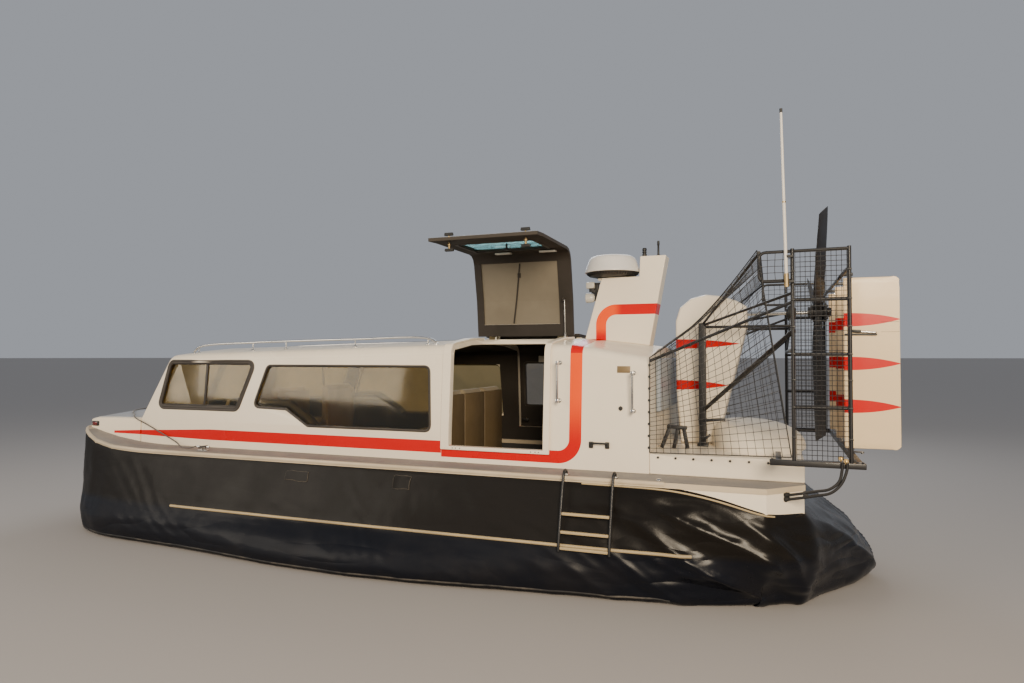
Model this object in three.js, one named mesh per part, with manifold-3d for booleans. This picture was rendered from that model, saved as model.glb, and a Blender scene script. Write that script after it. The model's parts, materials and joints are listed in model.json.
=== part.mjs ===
// A light cabin hovercraft, parked on its skids with the cushion let down and the port door open.
// Millimetres. X runs forward from the transom, Y to port, Z up from the ground.

import * as THREE from "three";
import { mergeVertices } from "three/addons/utils/BufferGeometryUtils.js";
import Module from "manifold-3d";

const wasm = await Module();
wasm.setup();

// Driving dimensions

const TRANSOM_X = -3350;
const GAP = 0.3;

const HULL = {
  bottom: 150, chine: 300, rimInset: 8, beltInset: 50, chineInset: 200, bottomInset: 340, floor: 640,
};
const SKID_Y = [-620, 0, 620];
const LIP_THICKNESS = 40;
const DECK_Z = 876;
const SKIRT = {
  beltZ: 380, rollZ: 110, groundInset: 70, groundWidth: 260, innerZ: 290, innerInset: 165, topInset: 35,
};

const WALL = 45;
const GLASS = { outer: 16, inner: 22 };
const SCREEN = { half: 740, post: 35, z: [1195, 1745] };
const CABIN = { aft: 1950, beltZ: 1140, frontSeamLow: 6520, frontSeamHigh: 6185, roofSeam: 88 };
const ENCLOSURE = { aft: 1130, wall: 40 };
const AFT_DECK_Z = 1040;
const PYLON_TOP_Z = 2725;
const SCANNER = { x: 1620, z: 2540 };

const DOOR = {
  clear: { aft: 2010, front: 2880, sill: 1020 },
  leaf: { aft: 1968, front: 2952, bottom: 985 },
  flange: { aft: 1955, front: 2960, bottom: 988, height: 20 },
  skinInner: 26,
  skinOuter: 56,
  hingeY: 100,
  hingeZ: 2014,
  openDeg: 86,
};
const STRUT = { x: 2036, baseY: 150, baseZ: 1700, eyeOut: 330, eyeDrop: 69, bore: 6, barrel: 11, rod: 4.5 };

const PROP = { x: -150, z: 2180, hubRadius: 75, blades: 3, firstDeg: 18, shaftRadius: 18 };
const CAGE = {
  y: 1200, front: 80, aft: -280, bottom: 1085, top: 2560, tube: 13, railZ: [1450, 1820, 2200],
  hoopX: 300, hoopY: 1176, loopZ: 2335, crossZ: 1850, rudderBeamZ: [2405, 2430],
};
const DRIVE_POST = { x: 775, y: 300, half: 30, top: 2090, beamZ: 2060, stayZ: 2056 };
const BEARING = { x: 60, radius: 70, half: 40, play: 6 };
const RUDDER = {
  leading: -285, trailing: -655, pivot: -335, bottom: 1125, top: 2390, thick: 34, spacing: 700,
};

const SIDE_CLEAT = { x: 5480, y: 1110, half: 80, hornZ: 38 };
const BOW_CLEAT = { x: 7160, z: 1189 };
const ROPE_RADIUS = 6;
const LATCH = { x: [2110, 2810], z: 1100, outer: 1004, inner: 868, thick: 18, half: 38 };
const HINGE_BLOCK = { x: [[2080, 2140], [2790, 2850]], y: [30, 76], z: [1960, 2024] };

const PAINT = { color: 0xece6da, roughness: 0.35, metalness: 0 };
const BLACK_METAL = { color: 0x17181b, roughness: 0.5, metalness: 0.3 };
const STEEL = { color: 0xb9bbbd, roughness: 0.3, metalness: 0.9 };
const SKIRT_RUBBER = { color: 0x14161c, roughness: 0.4, metalness: 0 };
const DECK_GREY = { color: 0x8b8f93, roughness: 0.8, metalness: 0 };
const GLASS_TINT = { color: 0x55605c, roughness: 0.05, metalness: 0, transparent: true, opacity: 0.4 };
const SEAT_CLOTH = { color: 0x8f8463, roughness: 0.9, metalness: 0 };
const DARK_TRIM = { color: 0x222326, roughness: 0.7, metalness: 0 };

// Half outline of the gunwale from the bow's centre to the stern's centre.
// lip is the gunwale's top, skirtTop how far below it the skirt starts,
// belly and foot how far the skirt stands out at its belt and at the ground.
const RIM_COLUMNS = ["x", "y", "lip", "skirtTop", "belly", "foot"];
const RIM_ROWS = [
  [7325, 0, 1058, 45, 30, -80],
  [7321, 450, 1056, 45, 30, -80],
  [7305, 820, 1050, 45, 25, -60],
  [7250, 985, 1040, 45, 20, -30],
  [7150, 1075, 1018, 45, 25, 20],
  [7040, 1130, 985, 45, 35, 60],
  [6850, 1200, 938, 45, 60, 110],
  [6560, 1243, 894, 45, 100, 165],
  [6200, 1250, 878, 45, 130, 190],
  [5600, 1250, 876, 45, 150, 215],
  [4900, 1250, 876, 45, 160, 290],
  [4200, 1250, 876, 45, 165, 350],
  [3500, 1250, 876, 45, 165, 370],
  [2800, 1250, 876, 45, 160, 320],
  [2100, 1250, 876, 45, 150, 215],
  [1500, 1250, 876, 45, 145, 140],
  [900, 1250, 876, 50, 120, 65],
  [560, 1250, 876, 110, 100, 35],
  [260, 1250, 876, 200, 60, 30],
  [0, 980, 876, 215, 90, 60],
  [-5, 600, 876, 215, 270, 250],
  [-9, 250, 876, 215, 370, 450],
  [-10, 0, 876, 215, 400, 540],
];

// Cross-sections of the cabin from the rear bulkhead to the windscreen.
const BODY_COLUMNS = ["xLow", "xHigh", "halfLow", "halfHigh", "edge", "crown"];
const CABIN_ROWS = [
  [1950, 1950, 920, 860, 1915, 1975],
  [3000, 3000, 920, 860, 1912, 1975],
  [4500, 4500, 920, 858, 1882, 1948],
  [5800, 5800, 915, 850, 1845, 1908],
  [6400, 6060, 905, 838, 1830, 1890],
  [6560, 6200, 893, 828, 1822, 1880],
  [6605, 6240, 850, 788, 1814, 1868],
];
const ENCLOSURE_ROWS = [
  [1130, 1130, 920, 868, 1800, 1893],
  [1400, 1400, 920, 866, 1850, 1928],
  [1760, 1760, 920, 862, 1905, 1968],
  [1949.6, 1949.6, 920, 860, 1915, 1975],
];

// Side window outlines as X, Z corners.
const FRONT_WINDOW = [[6300, 1285], [6205, 1735], [5090, 1735], [5270, 1285]];
const LONG_WINDOW = [[5060, 1300], [4910, 1716], [3100, 1716], [3070, 1136], [4390, 1136], [4655, 1290]];

const named = (columns, rows) =>
  rows.map((row) => Object.fromEntries(columns.map((column, index) => [column, row[index]])));
const RIM = named(RIM_COLUMNS, RIM_ROWS);
const CABIN_SECTIONS = named(BODY_COLUMNS, CABIN_ROWS);
const ENCLOSURE_SECTIONS = named(BODY_COLUMNS, ENCLOSURE_ROWS);

// Solids and shapes

const vec = (x, y, z) => new THREE.Vector3(x, y, z);
const radians = THREE.MathUtils.degToRad;

function solidOf(geometry) {
  const bare = geometry.clone();
  bare.deleteAttribute("normal");
  bare.deleteAttribute("uv");
  const merged = mergeVertices(bare, 0.001);
  return new wasm.Manifold(new wasm.Mesh({
    numProp: 3,
    vertProperties: new Float32Array(merged.attributes.position.array),
    triVerts: new Uint32Array(merged.index.array),
  }));
}

function geometryOf(solid) {
  const mesh = solid.getMesh();
  const geometry = new THREE.BufferGeometry();
  geometry.setAttribute("position", new THREE.BufferAttribute(mesh.vertProperties, mesh.numProp));
  geometry.setIndex(new THREE.BufferAttribute(mesh.triVerts, 1));
  geometry.computeVertexNormals();
  return geometry;
}

const joined = (geometries) => geometryOf(join(geometries));
const join = (geometries) => geometries.map(solidOf).reduce((sum, solid) => sum.add(solid));
const mirrored = (geometry) => {
  const copy = geometry.index ? geometry.toNonIndexed() : geometry.clone();
  const position = copy.attributes.position;
  const flipped = new THREE.BufferGeometry();
  const values = [];
  for (let i = 0; i < position.count; i += 3) {
    for (const j of [i, i + 2, i + 1]) {
      values.push(position.getX(j), -position.getY(j), position.getZ(j));
    }
  }
  flipped.setAttribute("position", new THREE.Float32BufferAttribute(values, 3));
  return mergeVertices(flipped, 0.001);
};

function box(x, y, z) {
  return new THREE.BoxGeometry(x[1] - x[0], y[1] - y[0], z[1] - z[0])
    .translate((x[0] + x[1]) / 2, (y[0] + y[1]) / 2, (z[0] + z[1]) / 2);
}

function between(geometry, from, to) {
  const along = to.clone().sub(from);
  const turn = new THREE.Quaternion().setFromUnitVectors(vec(0, 1, 0), along.clone().normalize());
  const middle = from.clone().add(to).multiplyScalar(0.5);
  return geometry.applyQuaternion(turn).translate(middle.x, middle.y, middle.z);
}

const tube = (from, to, radius, sides = 8) =>
  between(new THREE.CylinderGeometry(radius, radius, from.distanceTo(to), sides), from, to);

function bentTube(points, radius, sides = 8, steps = 24) {
  const curve = new THREE.CatmullRomCurve3(points, false, "centripetal");
  const section = new THREE.Shape();
  section.absarc(0, 0, radius, 0, Math.PI * 2, false);
  // An arc gives two points for each of curveSegments.
  const options = { steps, extrudePath: curve, curveSegments: sides / 2, bevelEnabled: false };
  return new THREE.ExtrudeGeometry(section, options);
}

// An outline in X and Z becomes a plate between two Y values.
function sidePlate(corners, y0, y1, holes = []) {
  const shape = new THREE.Shape(corners.map(([x, z]) => new THREE.Vector2(x, z)));
  shape.holes = holes.map((hole) => new THREE.Path(hole.map(([x, z]) => new THREE.Vector2(x, z))));
  return new THREE.ExtrudeGeometry(shape, { depth: y1 - y0, bevelEnabled: false })
    .rotateX(Math.PI / 2)
    .translate(0, y1, 0);
}

// Rings of equal point counts become a closed skin, with flat caps unless it closes on itself.
function loft(rings, closed, capFaces) {
  const count = rings[0].length;
  const faces = [];
  const spans = closed ? rings.length : rings.length - 1;
  for (let ring = 0; ring < spans; ring++) {
    const a = ring * count;
    const b = ((ring + 1) % rings.length) * count;
    for (let i = 0; i < count; i++) {
      const j = (i + 1) % count;
      faces.push([a + i, a + j, b + j], [a + i, b + j, b + i]);
    }
  }
  if (!closed) {
    const lastRing = (rings.length - 1) * count;
    for (const [i, j, k] of capFaces(count)) {
      faces.push([i, k, j], [lastRing + i, lastRing + j, lastRing + k]);
    }
  }
  const points = rings.flat();
  const volume = faces.reduce(
    (sum, [a, b, c]) => sum + points[a].dot(points[b].clone().cross(points[c])), 0);
  const outward = volume > 0 ? faces : faces.map(([a, b, c]) => [a, c, b]);
  const geometry = new THREE.BufferGeometry();
  geometry.setAttribute("position", new THREE.Float32BufferAttribute(points.flatMap((p) => p.toArray()), 3));
  geometry.setIndex(outward.flat());
  geometry.computeVertexNormals();
  return geometry;
}

// Cap faces that run across from one half of a mirrored ring to the other.
function rungs(count, left, faces) {
  let right = count - 1;
  for (; right - left > 2; left++, right--) faces.push([left, left + 1, right - 1], [left, right - 1, right]);
  if (right - left === 2) faces.push([left, left + 1, right]);
  return faces;
}
const acrossFromTip = (count) => rungs(count, 1, [[0, 1, count - 1]]);
const acrossFromEdge = (count) => rungs(count, 0, []);

// Hull, gunwale and skirt follow one outline

const rimNormals = RIM.map((row, i) => {
  const before = RIM[Math.max(i - 1, 0)];
  const after = RIM[Math.min(i + 1, RIM.length - 1)];
  if (row.y === 0) return vec(i === 0 ? 1 : -1, 0, 0);
  return vec(before.y - after.y, after.x - before.x, 0).normalize().negate();
});

function planRing(offsetOf, heightOf) {
  const half = RIM.map((row, i) => {
    const offset = offsetOf(row);
    return vec(row.x + rimNormals[i].x * offset, row.y + rimNormals[i].y * offset, heightOf(row));
  });
  const far = half.slice(1, -1).reverse().map((p) => vec(p.x, -p.y, p.z));
  return [...half, ...far];
}

const planLoft = (...levels) =>
  loft(levels.map(([offset, height]) => planRing(offset, height)), false, acrossFromTip);

// Everything below the gunwale's top, and everything above its underside.
const underDeck = solidOf(planLoft([() => 0, () => 300], [() => 0, (row) => row.lip + GAP]));
const deckSpace = solidOf(planLoft([() => 0, (row) => row.lip - LIP_THICKNESS - GAP], [() => 0, () => 1200]));
const WELL = { aft: CABIN.aft + 10, front: 6250, half: 820 };
const cabinWell = box([WELL.aft, WELL.front], [-WELL.half, WELL.half], [HULL.floor, 1200]);

const skirtTop = (row) => row.lip - row.skirtTop;

// The hull is flush with the gunwale above the skirt, and steps in behind the skirt's top.
function hullBody() {
  const body = planLoft(
    [() => -HULL.bottomInset, () => HULL.bottom],
    [() => -HULL.chineInset, () => HULL.chine],
    [() => -HULL.beltInset, (row) => skirtTop(row) + 1],
    [() => -HULL.rimInset, (row) => skirtTop(row) + 4],
    [() => -HULL.rimInset, (row) => row.lip],
  );
  return solidOf(body).subtract(deckSpace).subtract(solidOf(cabinWell));
}

const hullWithin = (x, z) => hullBody().intersect(solidBox(x, [-2000, 2000], z));
const ABOVE_FLOOR = [HULL.floor + GAP, 1500];
const hull = () => hullWithin([-1000, 8000], [0, HULL.floor]).add(skids());
const topsides = () => hullWithin([WELL.aft, 8000], ABOVE_FLOOR);
const sternBlock = () => hullWithin([-1000, WELL.aft - GAP], ABOVE_FLOOR);

function gunwale() {
  const plate = planLoft([() => 0, (row) => row.lip - LIP_THICKNESS], [() => 0, (row) => row.lip]);
  const cleats = [-1, 1].map((side) => cleat(SIDE_CLEAT.x, side * SIDE_CLEAT.y, DECK_Z));
  return join([plate, ...cleats]).subtract(solidOf(cabinWell));
}

function foredeck() {
  const rows = [
    [6580, 885, 1146, 1192],
    [6900, 915, 1150, 1192],
    [7130, 950, 1146, 1190],
    [7215, 955, 1128, 1186],
    [7262, 905, 1118, 1178],
    [7290, 780, 1112, 1170],
  ];
  const section = ([x, half, edge, crown]) => {
    const shoulder = edge + (crown - edge) * 0.72;
    const side = [[half + 12, 860], [half, edge - 12], [half - 25, edge], [half * 0.5, shoulder]];
    return [
      ...side.map(([y, z]) => vec(x, y, z)),
      vec(x, 0, crown),
      ...side.reverse().map(([y, z]) => vec(x, -y, z)),
    ];
  };
  const block = solidOf(loft(rows.map(section), false, acrossFromEdge));
  const bowCleat = solidOf(cleat(0, 0, 0).rotateZ(Math.PI / 2).translate(BOW_CLEAT.x, 0, BOW_CLEAT.z));
  return block.subtract(underDeck).subtract(bodySolid(CABIN_SECTIONS, -GAP, 500, 0, GAP)).add(bowCleat);
}

function skirt() {
  const z = (height) => () => height;
  const rings = [
    planRing(() => -SKIRT.topInset, skirtTop),
    planRing(() => 0, skirtTop),
    planRing((row) => row.belly * 0.62, (row) => (skirtTop(row) + SKIRT.beltZ) / 2),
    planRing((row) => row.belly, z(SKIRT.beltZ)),
    planRing((row) => row.belly * 0.35 + row.foot * 0.65 + 20, z(240)),
    planRing((row) => row.foot, z(SKIRT.rollZ)),
    planRing((row) => row.foot - SKIRT.groundInset, z(0)),
    planRing((row) => row.foot - SKIRT.groundInset - SKIRT.groundWidth, z(0)),
    planRing(() => -SKIRT.innerInset, z(SKIRT.innerZ)),
  ];
  return solidOf(loft(rings, true)).subtract(deckSpace);
}

function skids() {
  const corners = [[500, HULL.bottom + 20], [600, 0], [6050, 0], [6550, HULL.bottom + 20]];
  return join(SKID_Y.map((y) => sidePlate(corners, y - 60, y + 60)));
}

// Cabin and engine enclosure

function bodyRing(section, inset, base, xShift) {
  const { xLow, xHigh, halfLow, halfHigh, edge, crown } = section;
  const lift = (z) => Math.max((z - CABIN.beltZ) / (edge - CABIN.beltZ), 0);
  const side = [
    [halfLow - inset, base],
    [halfLow - inset, DECK_Z + 5],
    [halfLow - 6 - inset, CABIN.beltZ],
    [halfHigh + 4 - inset, edge - 78],
    [halfHigh - 8 - inset * 0.92, edge - 40 - inset * 0.4],
    [halfHigh - 34 - inset * 0.7, edge - 12 - inset * 0.7],
    [halfHigh - 80 - inset * 0.4, edge - inset * 0.95],
    [halfHigh * 0.5, edge + (crown - edge) * 0.74 - inset],
  ];
  const at = (y, z) => vec(xLow + (xHigh - xLow) * lift(z) + xShift, y, z);
  return [
    ...side.map(([y, z]) => at(y, z)),
    at(0, crown - inset),
    ...side.map(([y, z]) => at(-y, z)).reverse(),
  ];
}

// A positive inset gives the inside of a wall, a negative one a skin over it.
function bodySolid(sections, inset, base, aftShift, frontShift) {
  const firstFront = sections === CABIN_SECTIONS ? sections.length - 2 : sections.length - 1;
  const rings = sections.map((section, i) =>
    bodyRing(section, inset, base, i === 0 ? aftShift : i >= firstFront ? frontShift : 0));
  return solidOf(loft(rings, false, acrossFromEdge));
}

const cabinOuter = bodySolid(CABIN_SECTIONS, 0, DECK_Z + GAP, 0, 0).subtract(underDeck);
const cabinInner = bodySolid(CABIN_SECTIONS, WALL, DECK_Z - 60, -40, -WALL);
const cabinShell = cabinOuter.subtract(cabinInner);
const glassShell = bodySolid(CABIN_SECTIONS, GLASS.outer, DECK_Z - 20, -20, -GLASS.outer)
  .subtract(bodySolid(CABIN_SECTIONS, GLASS.inner, DECK_Z - 40, -40, -GLASS.inner));

const solidBox = (x, y, z) => solidOf(box(x, y, z));
const windowPrism = (corners) => solidOf(sidePlate(corners, -1200, 1200));
const screenPrism = (side) =>
  solidBox([6000, 6700], side > 0 ? [SCREEN.post, SCREEN.half] : [-SCREEN.half, -SCREEN.post], SCREEN.z);

const seamLine = (shift) => [
  [1900, 1915 - CABIN.roofSeam + shift],
  [3000, 1912 - CABIN.roofSeam + shift],
  [4500, 1882 - CABIN.roofSeam + shift],
  [5800, 1845 - CABIN.roofSeam + shift],
  [6700, 1815 - CABIN.roofSeam + shift],
];
const aboveSeam = solidOf(sidePlate([...seamLine(0), [6700, 2200], [1900, 2200]], -1000, 1000));
const belowSeam = solidOf(sidePlate([...seamLine(-GAP), [6700, 800], [1900, 800]], -1000, 1000));
const doorHole = (side) => {
  const { aft, front, sill } = DOOR.clear;
  return solidBox([aft, front], side > 0 ? [120, 1100] : [-1100, -120], [sill, 2200]);
};
const bothDoorHoles = doorHole(1).add(doorHole(-1));
const frontRegion = (shift) => solidOf(sidePlate([
  [CABIN.frontSeamLow + shift, 800],
  [CABIN.frontSeamLow + shift, CABIN.beltZ],
  [CABIN.frontSeamHigh + shift, 1810],
  [CABIN.frontSeamHigh + shift, 2200],
  [7000, 2200],
  [7000, 800],
], -1000, 1000));

function cabinSide(side) {
  const half = solidBox([1900, 7000], side > 0 ? [300, 1000] : [-1000, -300], [800, 2200]);
  return cabinShell.intersect(half).intersect(belowSeam)
    .subtract(frontRegion(-GAP))
    .subtract(bothDoorHoles)
    .subtract(windowPrism(FRONT_WINDOW))
    .subtract(windowPrism(LONG_WINDOW));
}

function cabinFront() {
  const rebate = bodySolid(CABIN_SECTIONS, GLASS.outer - GAP, DECK_Z - 40, -40, -GLASS.outer + GAP)
    .intersect(solidBox([6000, 6700], [-100, 100], SCREEN.z));
  return cabinShell.intersect(frontRegion(0))
    .subtract(screenPrism(1))
    .subtract(screenPrism(-1))
    .subtract(rebate);
}

function cabinRoof() {
  const shell = cabinShell.intersect(aboveSeam).subtract(frontRegion(-GAP)).subtract(bothDoorHoles);
  const hingeBlocks = HINGE_BLOCK.x.flatMap((x) => [1, -1].map((side) =>
    solidBox(x, side > 0 ? HINGE_BLOCK.y : HINGE_BLOCK.y.map((y) => -y).reverse(), HINGE_BLOCK.z)));
  return hingeBlocks.reduce((roof, block) => roof.add(block), shell);
}

function glassPane(prism, side) {
  const half = solidBox([1900, 7000], side > 0 ? [20, 1000] : [-1000, -20], [800, 2200]);
  return glassShell.intersect(prism).intersect(half);
}

const shrunkWindow = (corners) => {
  const count = corners.length;
  const middle = corners.reduce(([x, z], [cx, cz]) => [x + cx / count, z + cz / count], [0, 0]);
  const towards = (value, centre, by) => value - Math.sign(value - centre) * by;
  return corners.map(([x, z]) => [towards(x, middle[0], 2 * GAP), towards(z, middle[1], 1.5 * GAP)]);
};

// One pane behind the middle post, let into the rebate that the post leaves.
function windscreen() {
  const { half, z: [low, high] } = SCREEN;
  return glassShell.intersect(solidBox([6000, 6700], [-half + GAP, half - GAP], [low + GAP, high - GAP]));
}

function rearBulkhead() {
  const plate = solidBox([CABIN.aft + 12, CABIN.aft + 42], [-1000, 1000], [HULL.floor + GAP, 2200]);
  const room = bodySolid(CABIN_SECTIONS, WALL + GAP, HULL.floor, -40, -WALL);
  const strutBases = [-1, 1].map((side) => solidBox(
    [CABIN.aft + 40, STRUT.x - 22],
    [side * STRUT.baseY - 25, side * STRUT.baseY + 25],
    [STRUT.baseZ - 25, STRUT.baseZ + 25],
  ));
  return plate.intersect(room)
    .subtract(solidBox([1900, 2100], [-1000, -819], [0, 900]))
    .subtract(solidBox([1900, 2100], [819, 1000], [0, 900]))
    .add(strutBases[0])
    .add(strutBases[1]);
}

function enclosure() {
  const outer = bodySolid(ENCLOSURE_SECTIONS, 0, DECK_Z + GAP, 0, 0);
  const inner = bodySolid(ENCLOSURE_SECTIONS, ENCLOSURE.wall, DECK_Z - 60, ENCLOSURE.wall, 20);
  return outer.subtract(inner);
}

// Doors, hinged near the roof's centreline

const doorSkins = bodySolid(CABIN_SECTIONS, -DOOR.skinOuter, DECK_Z - 100, 0, 0)
  .subtract(bodySolid(CABIN_SECTIONS, -DOOR.skinInner, DECK_Z - 120, -10, 10));
const ROOF_LIGHT = { x: [2100, 2880], y: [205, 800] };
const DOOR_LIGHT = { x: [2100, 2830], z: [1255, 1740] };

const shrunk = ([low, high], by) => [low + by, high - by];
const roofLightPrism = (by) => solidBox(shrunk(ROOF_LIGHT.x, by), shrunk(ROOF_LIGHT.y, by), [1800, 2300]);
const doorLightPrism = (by) => solidBox(shrunk(DOOR_LIGHT.x, by), [700, 1200], shrunk(DOOR_LIGHT.z, by));

function doorFrame() {
  const { aft, front, bottom } = DOOR.leaf;
  const region = solidBox([aft, front], [DOOR.hingeY - 12, 1200], [bottom, 2300]);
  const eyeY = DOOR.hingeY + STRUT.eyeOut;
  const tabZ = [DOOR.hingeZ - STRUT.eyeDrop - 10, DOOR.hingeZ - 20];
  const tab = solidBox([STRUT.x + 14, STRUT.x + 20], [eyeY - 16, eyeY + 16], tabZ);
  const latches = LATCH.x.map((x) => solidOf(latch(x)));
  return doorSkins.intersect(region)
    .subtract(roofLightPrism(0))
    .subtract(doorLightPrism(0))
    .add(tab)
    .add(latches[0])
    .add(latches[1]);
}

// A handle outside and one inside, on a spindle through the leaf.
function latch(x) {
  const { z, outer, inner, thick, half } = LATCH;
  return joined([
    tube(vec(x, inner + thick / 2, z), vec(x, outer + thick / 2, z), 7, 10),
    ...[outer, inner].map((y) => box([x - half, x + half], [y, y + thick], [z - 12, z + 12])),
  ]);
}

function doorPane(prism) {
  const skins = bodySolid(CABIN_SECTIONS, -DOOR.skinInner - 18, DECK_Z - 100, 0, 0)
    .subtract(bodySolid(CABIN_SECTIONS, -DOOR.skinInner - 12, DECK_Z - 120, -10, 10));
  return skins.intersect(prism);
}

function doorFlange() {
  const skin = bodySolid(CABIN_SECTIONS, -DOOR.flange.height, DECK_Z - 100, 0, 0)
    .subtract(bodySolid(CABIN_SECTIONS, -GAP, DECK_Z - 120, -10, 10));
  const ring = solidBox([DOOR.flange.aft, DOOR.flange.front], [120, 1200], [DOOR.flange.bottom, 2300])
    .subtract(solidBox([DOOR.clear.aft, DOOR.clear.front], [50, 1250], [DOOR.clear.sill, 2400]));
  return skin.intersect(ring);
}

// The gas strut turns about its base and slides out as the door lifts.
const strutEyeAt = (doorDeg) => {
  const turn = radians(doorDeg);
  const out = STRUT.eyeOut;
  const down = -STRUT.eyeDrop;
  return {
    y: DOOR.hingeY + out * Math.cos(turn) - down * Math.sin(turn),
    z: DOOR.hingeZ + out * Math.sin(turn) + down * Math.cos(turn),
  };
};
const strutReach = (doorDeg) => {
  const eye = strutEyeAt(doorDeg);
  return Math.hypot(eye.y - STRUT.baseY, eye.z - STRUT.baseZ);
};
const strutShut = strutReach(0);
const barrelEnd = strutShut - 40;

function strutBarrel() {
  const { bore, barrel } = STRUT;
  const profile = [[bore, 12], [barrel, 12], [barrel, barrelEnd], [bore, barrelEnd], [bore, 12]];
  const sleeve = new THREE.LatheGeometry(profile.map(([r, h]) => new THREE.Vector2(r, h)), 12);
  const foot = tube(vec(-barrel, 0, 0), vec(barrel, 0, 0), 9, 10);
  return join([sleeve, foot, tube(vec(0, 4, 0), vec(0, 14, 0), barrel, 12)]);
}

function strutRod(doorDeg) {
  const reach = strutReach(doorDeg);
  const inner = reach - strutShut + 20;
  const eye = tube(vec(-8, reach, 0), vec(8, reach, 0), 9, 10);
  return join([tube(vec(0, inner, 0), vec(0, reach - 4, 0), STRUT.rod, 8), eye]);
}

// Aft deck, drive tower and propeller

const TOWER_OUTLINE = [
  [980, 1041], [1020, 1500], [1022, 2120], [985, 2240], [890, 2320], [760, 2352], [620, 2335],
  [500, 2290], [420, 2240], [410, 2090], [620, 1250], [660, 1041],
];
const SHAFT_HOLE = PROP.shaftRadius + 12;

function tower() {
  const shape = new THREE.Shape(TOWER_OUTLINE.map(([x, z]) => new THREE.Vector2(x, z)));
  const bevel = 35;
  const width = 280;
  const block = new THREE.ExtrudeGeometry(shape, {
    depth: width - 2 * bevel,
    bevelSize: bevel * 0.6,
    bevelOffset: -bevel * 0.6,
    bevelThickness: bevel,
    bevelSegments: 2,
  }).rotateX(Math.PI / 2).translate(0, width / 2 - bevel, 0);
  return solidOf(block)
    .subtract(solidOf(tube(vec(300, 0, PROP.z), vec(660, 0, PROP.z), SHAFT_HOLE, 16)));
}

function aftDome() {
  const profile = [
    [0, 0], [1, 0], [1, 0.12], [0.985, 0.38], [0.93, 0.62], [0.8, 0.82], [0.58, 0.94], [0.3, 0.99], [0, 1],
  ];
  const dome = new THREE.LatheGeometry(profile.map(([r, h]) => new THREE.Vector2(r, h)), 32)
    .rotateX(Math.PI / 2)
    .scale(385, 720, 208)
    .translate(335, 0, AFT_DECK_Z + GAP);
  return solidOf(dome).subtract(solidBox([590, 1100], [-150, 150], [900, 1400]));
}

// Two posts beside the tower, each on a foot, with a short beam in to the tower's sides.
function drivePosts() {
  const { x, half, top, beamZ } = DRIVE_POST;
  return [-1, 1].flatMap((side) => {
    const y = side * DRIVE_POST.y;
    return [
      box([x - half, x + half], [y - half, y + half], [AFT_DECK_Z + GAP, top]),
      box([x - 45, x + 45], [y - 50, y + 50], [AFT_DECK_Z + GAP, AFT_DECK_Z + 15]),
      tube(vec(x, y, beamZ), vec(x, side * 160, beamZ), 20),
    ];
  });
}

function bearing() {
  const { x, radius, half, play } = BEARING;
  const bore = PROP.shaftRadius + play;
  const profile = [[bore, -half], [radius, -half], [radius, half], [bore, half], [bore, -half]];
  return new THREE.LatheGeometry(profile.map(([r, h]) => new THREE.Vector2(r, h)), 20)
    .rotateZ(Math.PI / 2)
    .translate(x, 0, PROP.z);
}

// Blade sections from root to tip: distance out, chord, twist from the disc's plane, thickness.
const BLADE_ROWS = [
  [70, 76, 62, 46],
  [180, 114, 50, 28],
  [360, 148, 39, 20],
  [620, 170, 31, 14],
  [880, 180, 27, 10],
  [1090, 168, 25, 6],
];

const BLADE_OUTLINE = [
  [-0.5, 0], [-0.3, 0.42], [0.05, 0.5], [0.5, 0.04], [0.5, -0.04], [0.05, -0.3], [-0.3, -0.3],
];

function blade() {
  const rings = BLADE_ROWS.map(([out, chord, twist, thick]) => {
    const turn = radians(twist);
    return BLADE_OUTLINE.map(([c, t]) => {
      const along = c * chord;
      const across = t * thick;
      const x = along * Math.sin(turn) + across * Math.cos(turn);
      const y = along * Math.cos(turn) - across * Math.sin(turn);
      return vec(x, y, out);
    });
  });
  return loft(rings, false, acrossFromTip);
}

function propeller() {
  const hub = tube(vec(-75, 0, 0), vec(60, 0, 0), PROP.hubRadius, 20);
  const nose = tube(vec(-105, 0, 0), vec(-70, 0, 0), 48, 16);
  const shaft = tube(vec(50, 0, 0), vec(780, 0, 0), PROP.shaftRadius, 16);
  const blades = Array.from({ length: PROP.blades }, (_, i) => {
    const fromUp = 90 - (PROP.firstDeg + (360 / PROP.blades) * i);
    return blade().rotateX(radians(fromUp));
  });
  return join([hub, nose, shaft, ...blades]);
}

function rudder() {
  const { leading, trailing, bottom, top, thick } = RUDDER;
  const section = [
    [leading, 0], [leading - 40, thick / 2], [leading - 130, thick / 2], [trailing, 4], [trailing, -4],
    [leading - 130, -thick / 2], [leading - 40, -thick / 2],
  ];
  const plate = loft([bottom, top].map((z) => section.map(([x, y]) => vec(x, y, z))), false, acrossFromTip);
  return joined([plate, tube(vec(RUDDER.pivot, 0, bottom - 28), vec(RUDDER.pivot, 0, top + 9), 11, 12)]);
}

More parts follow.
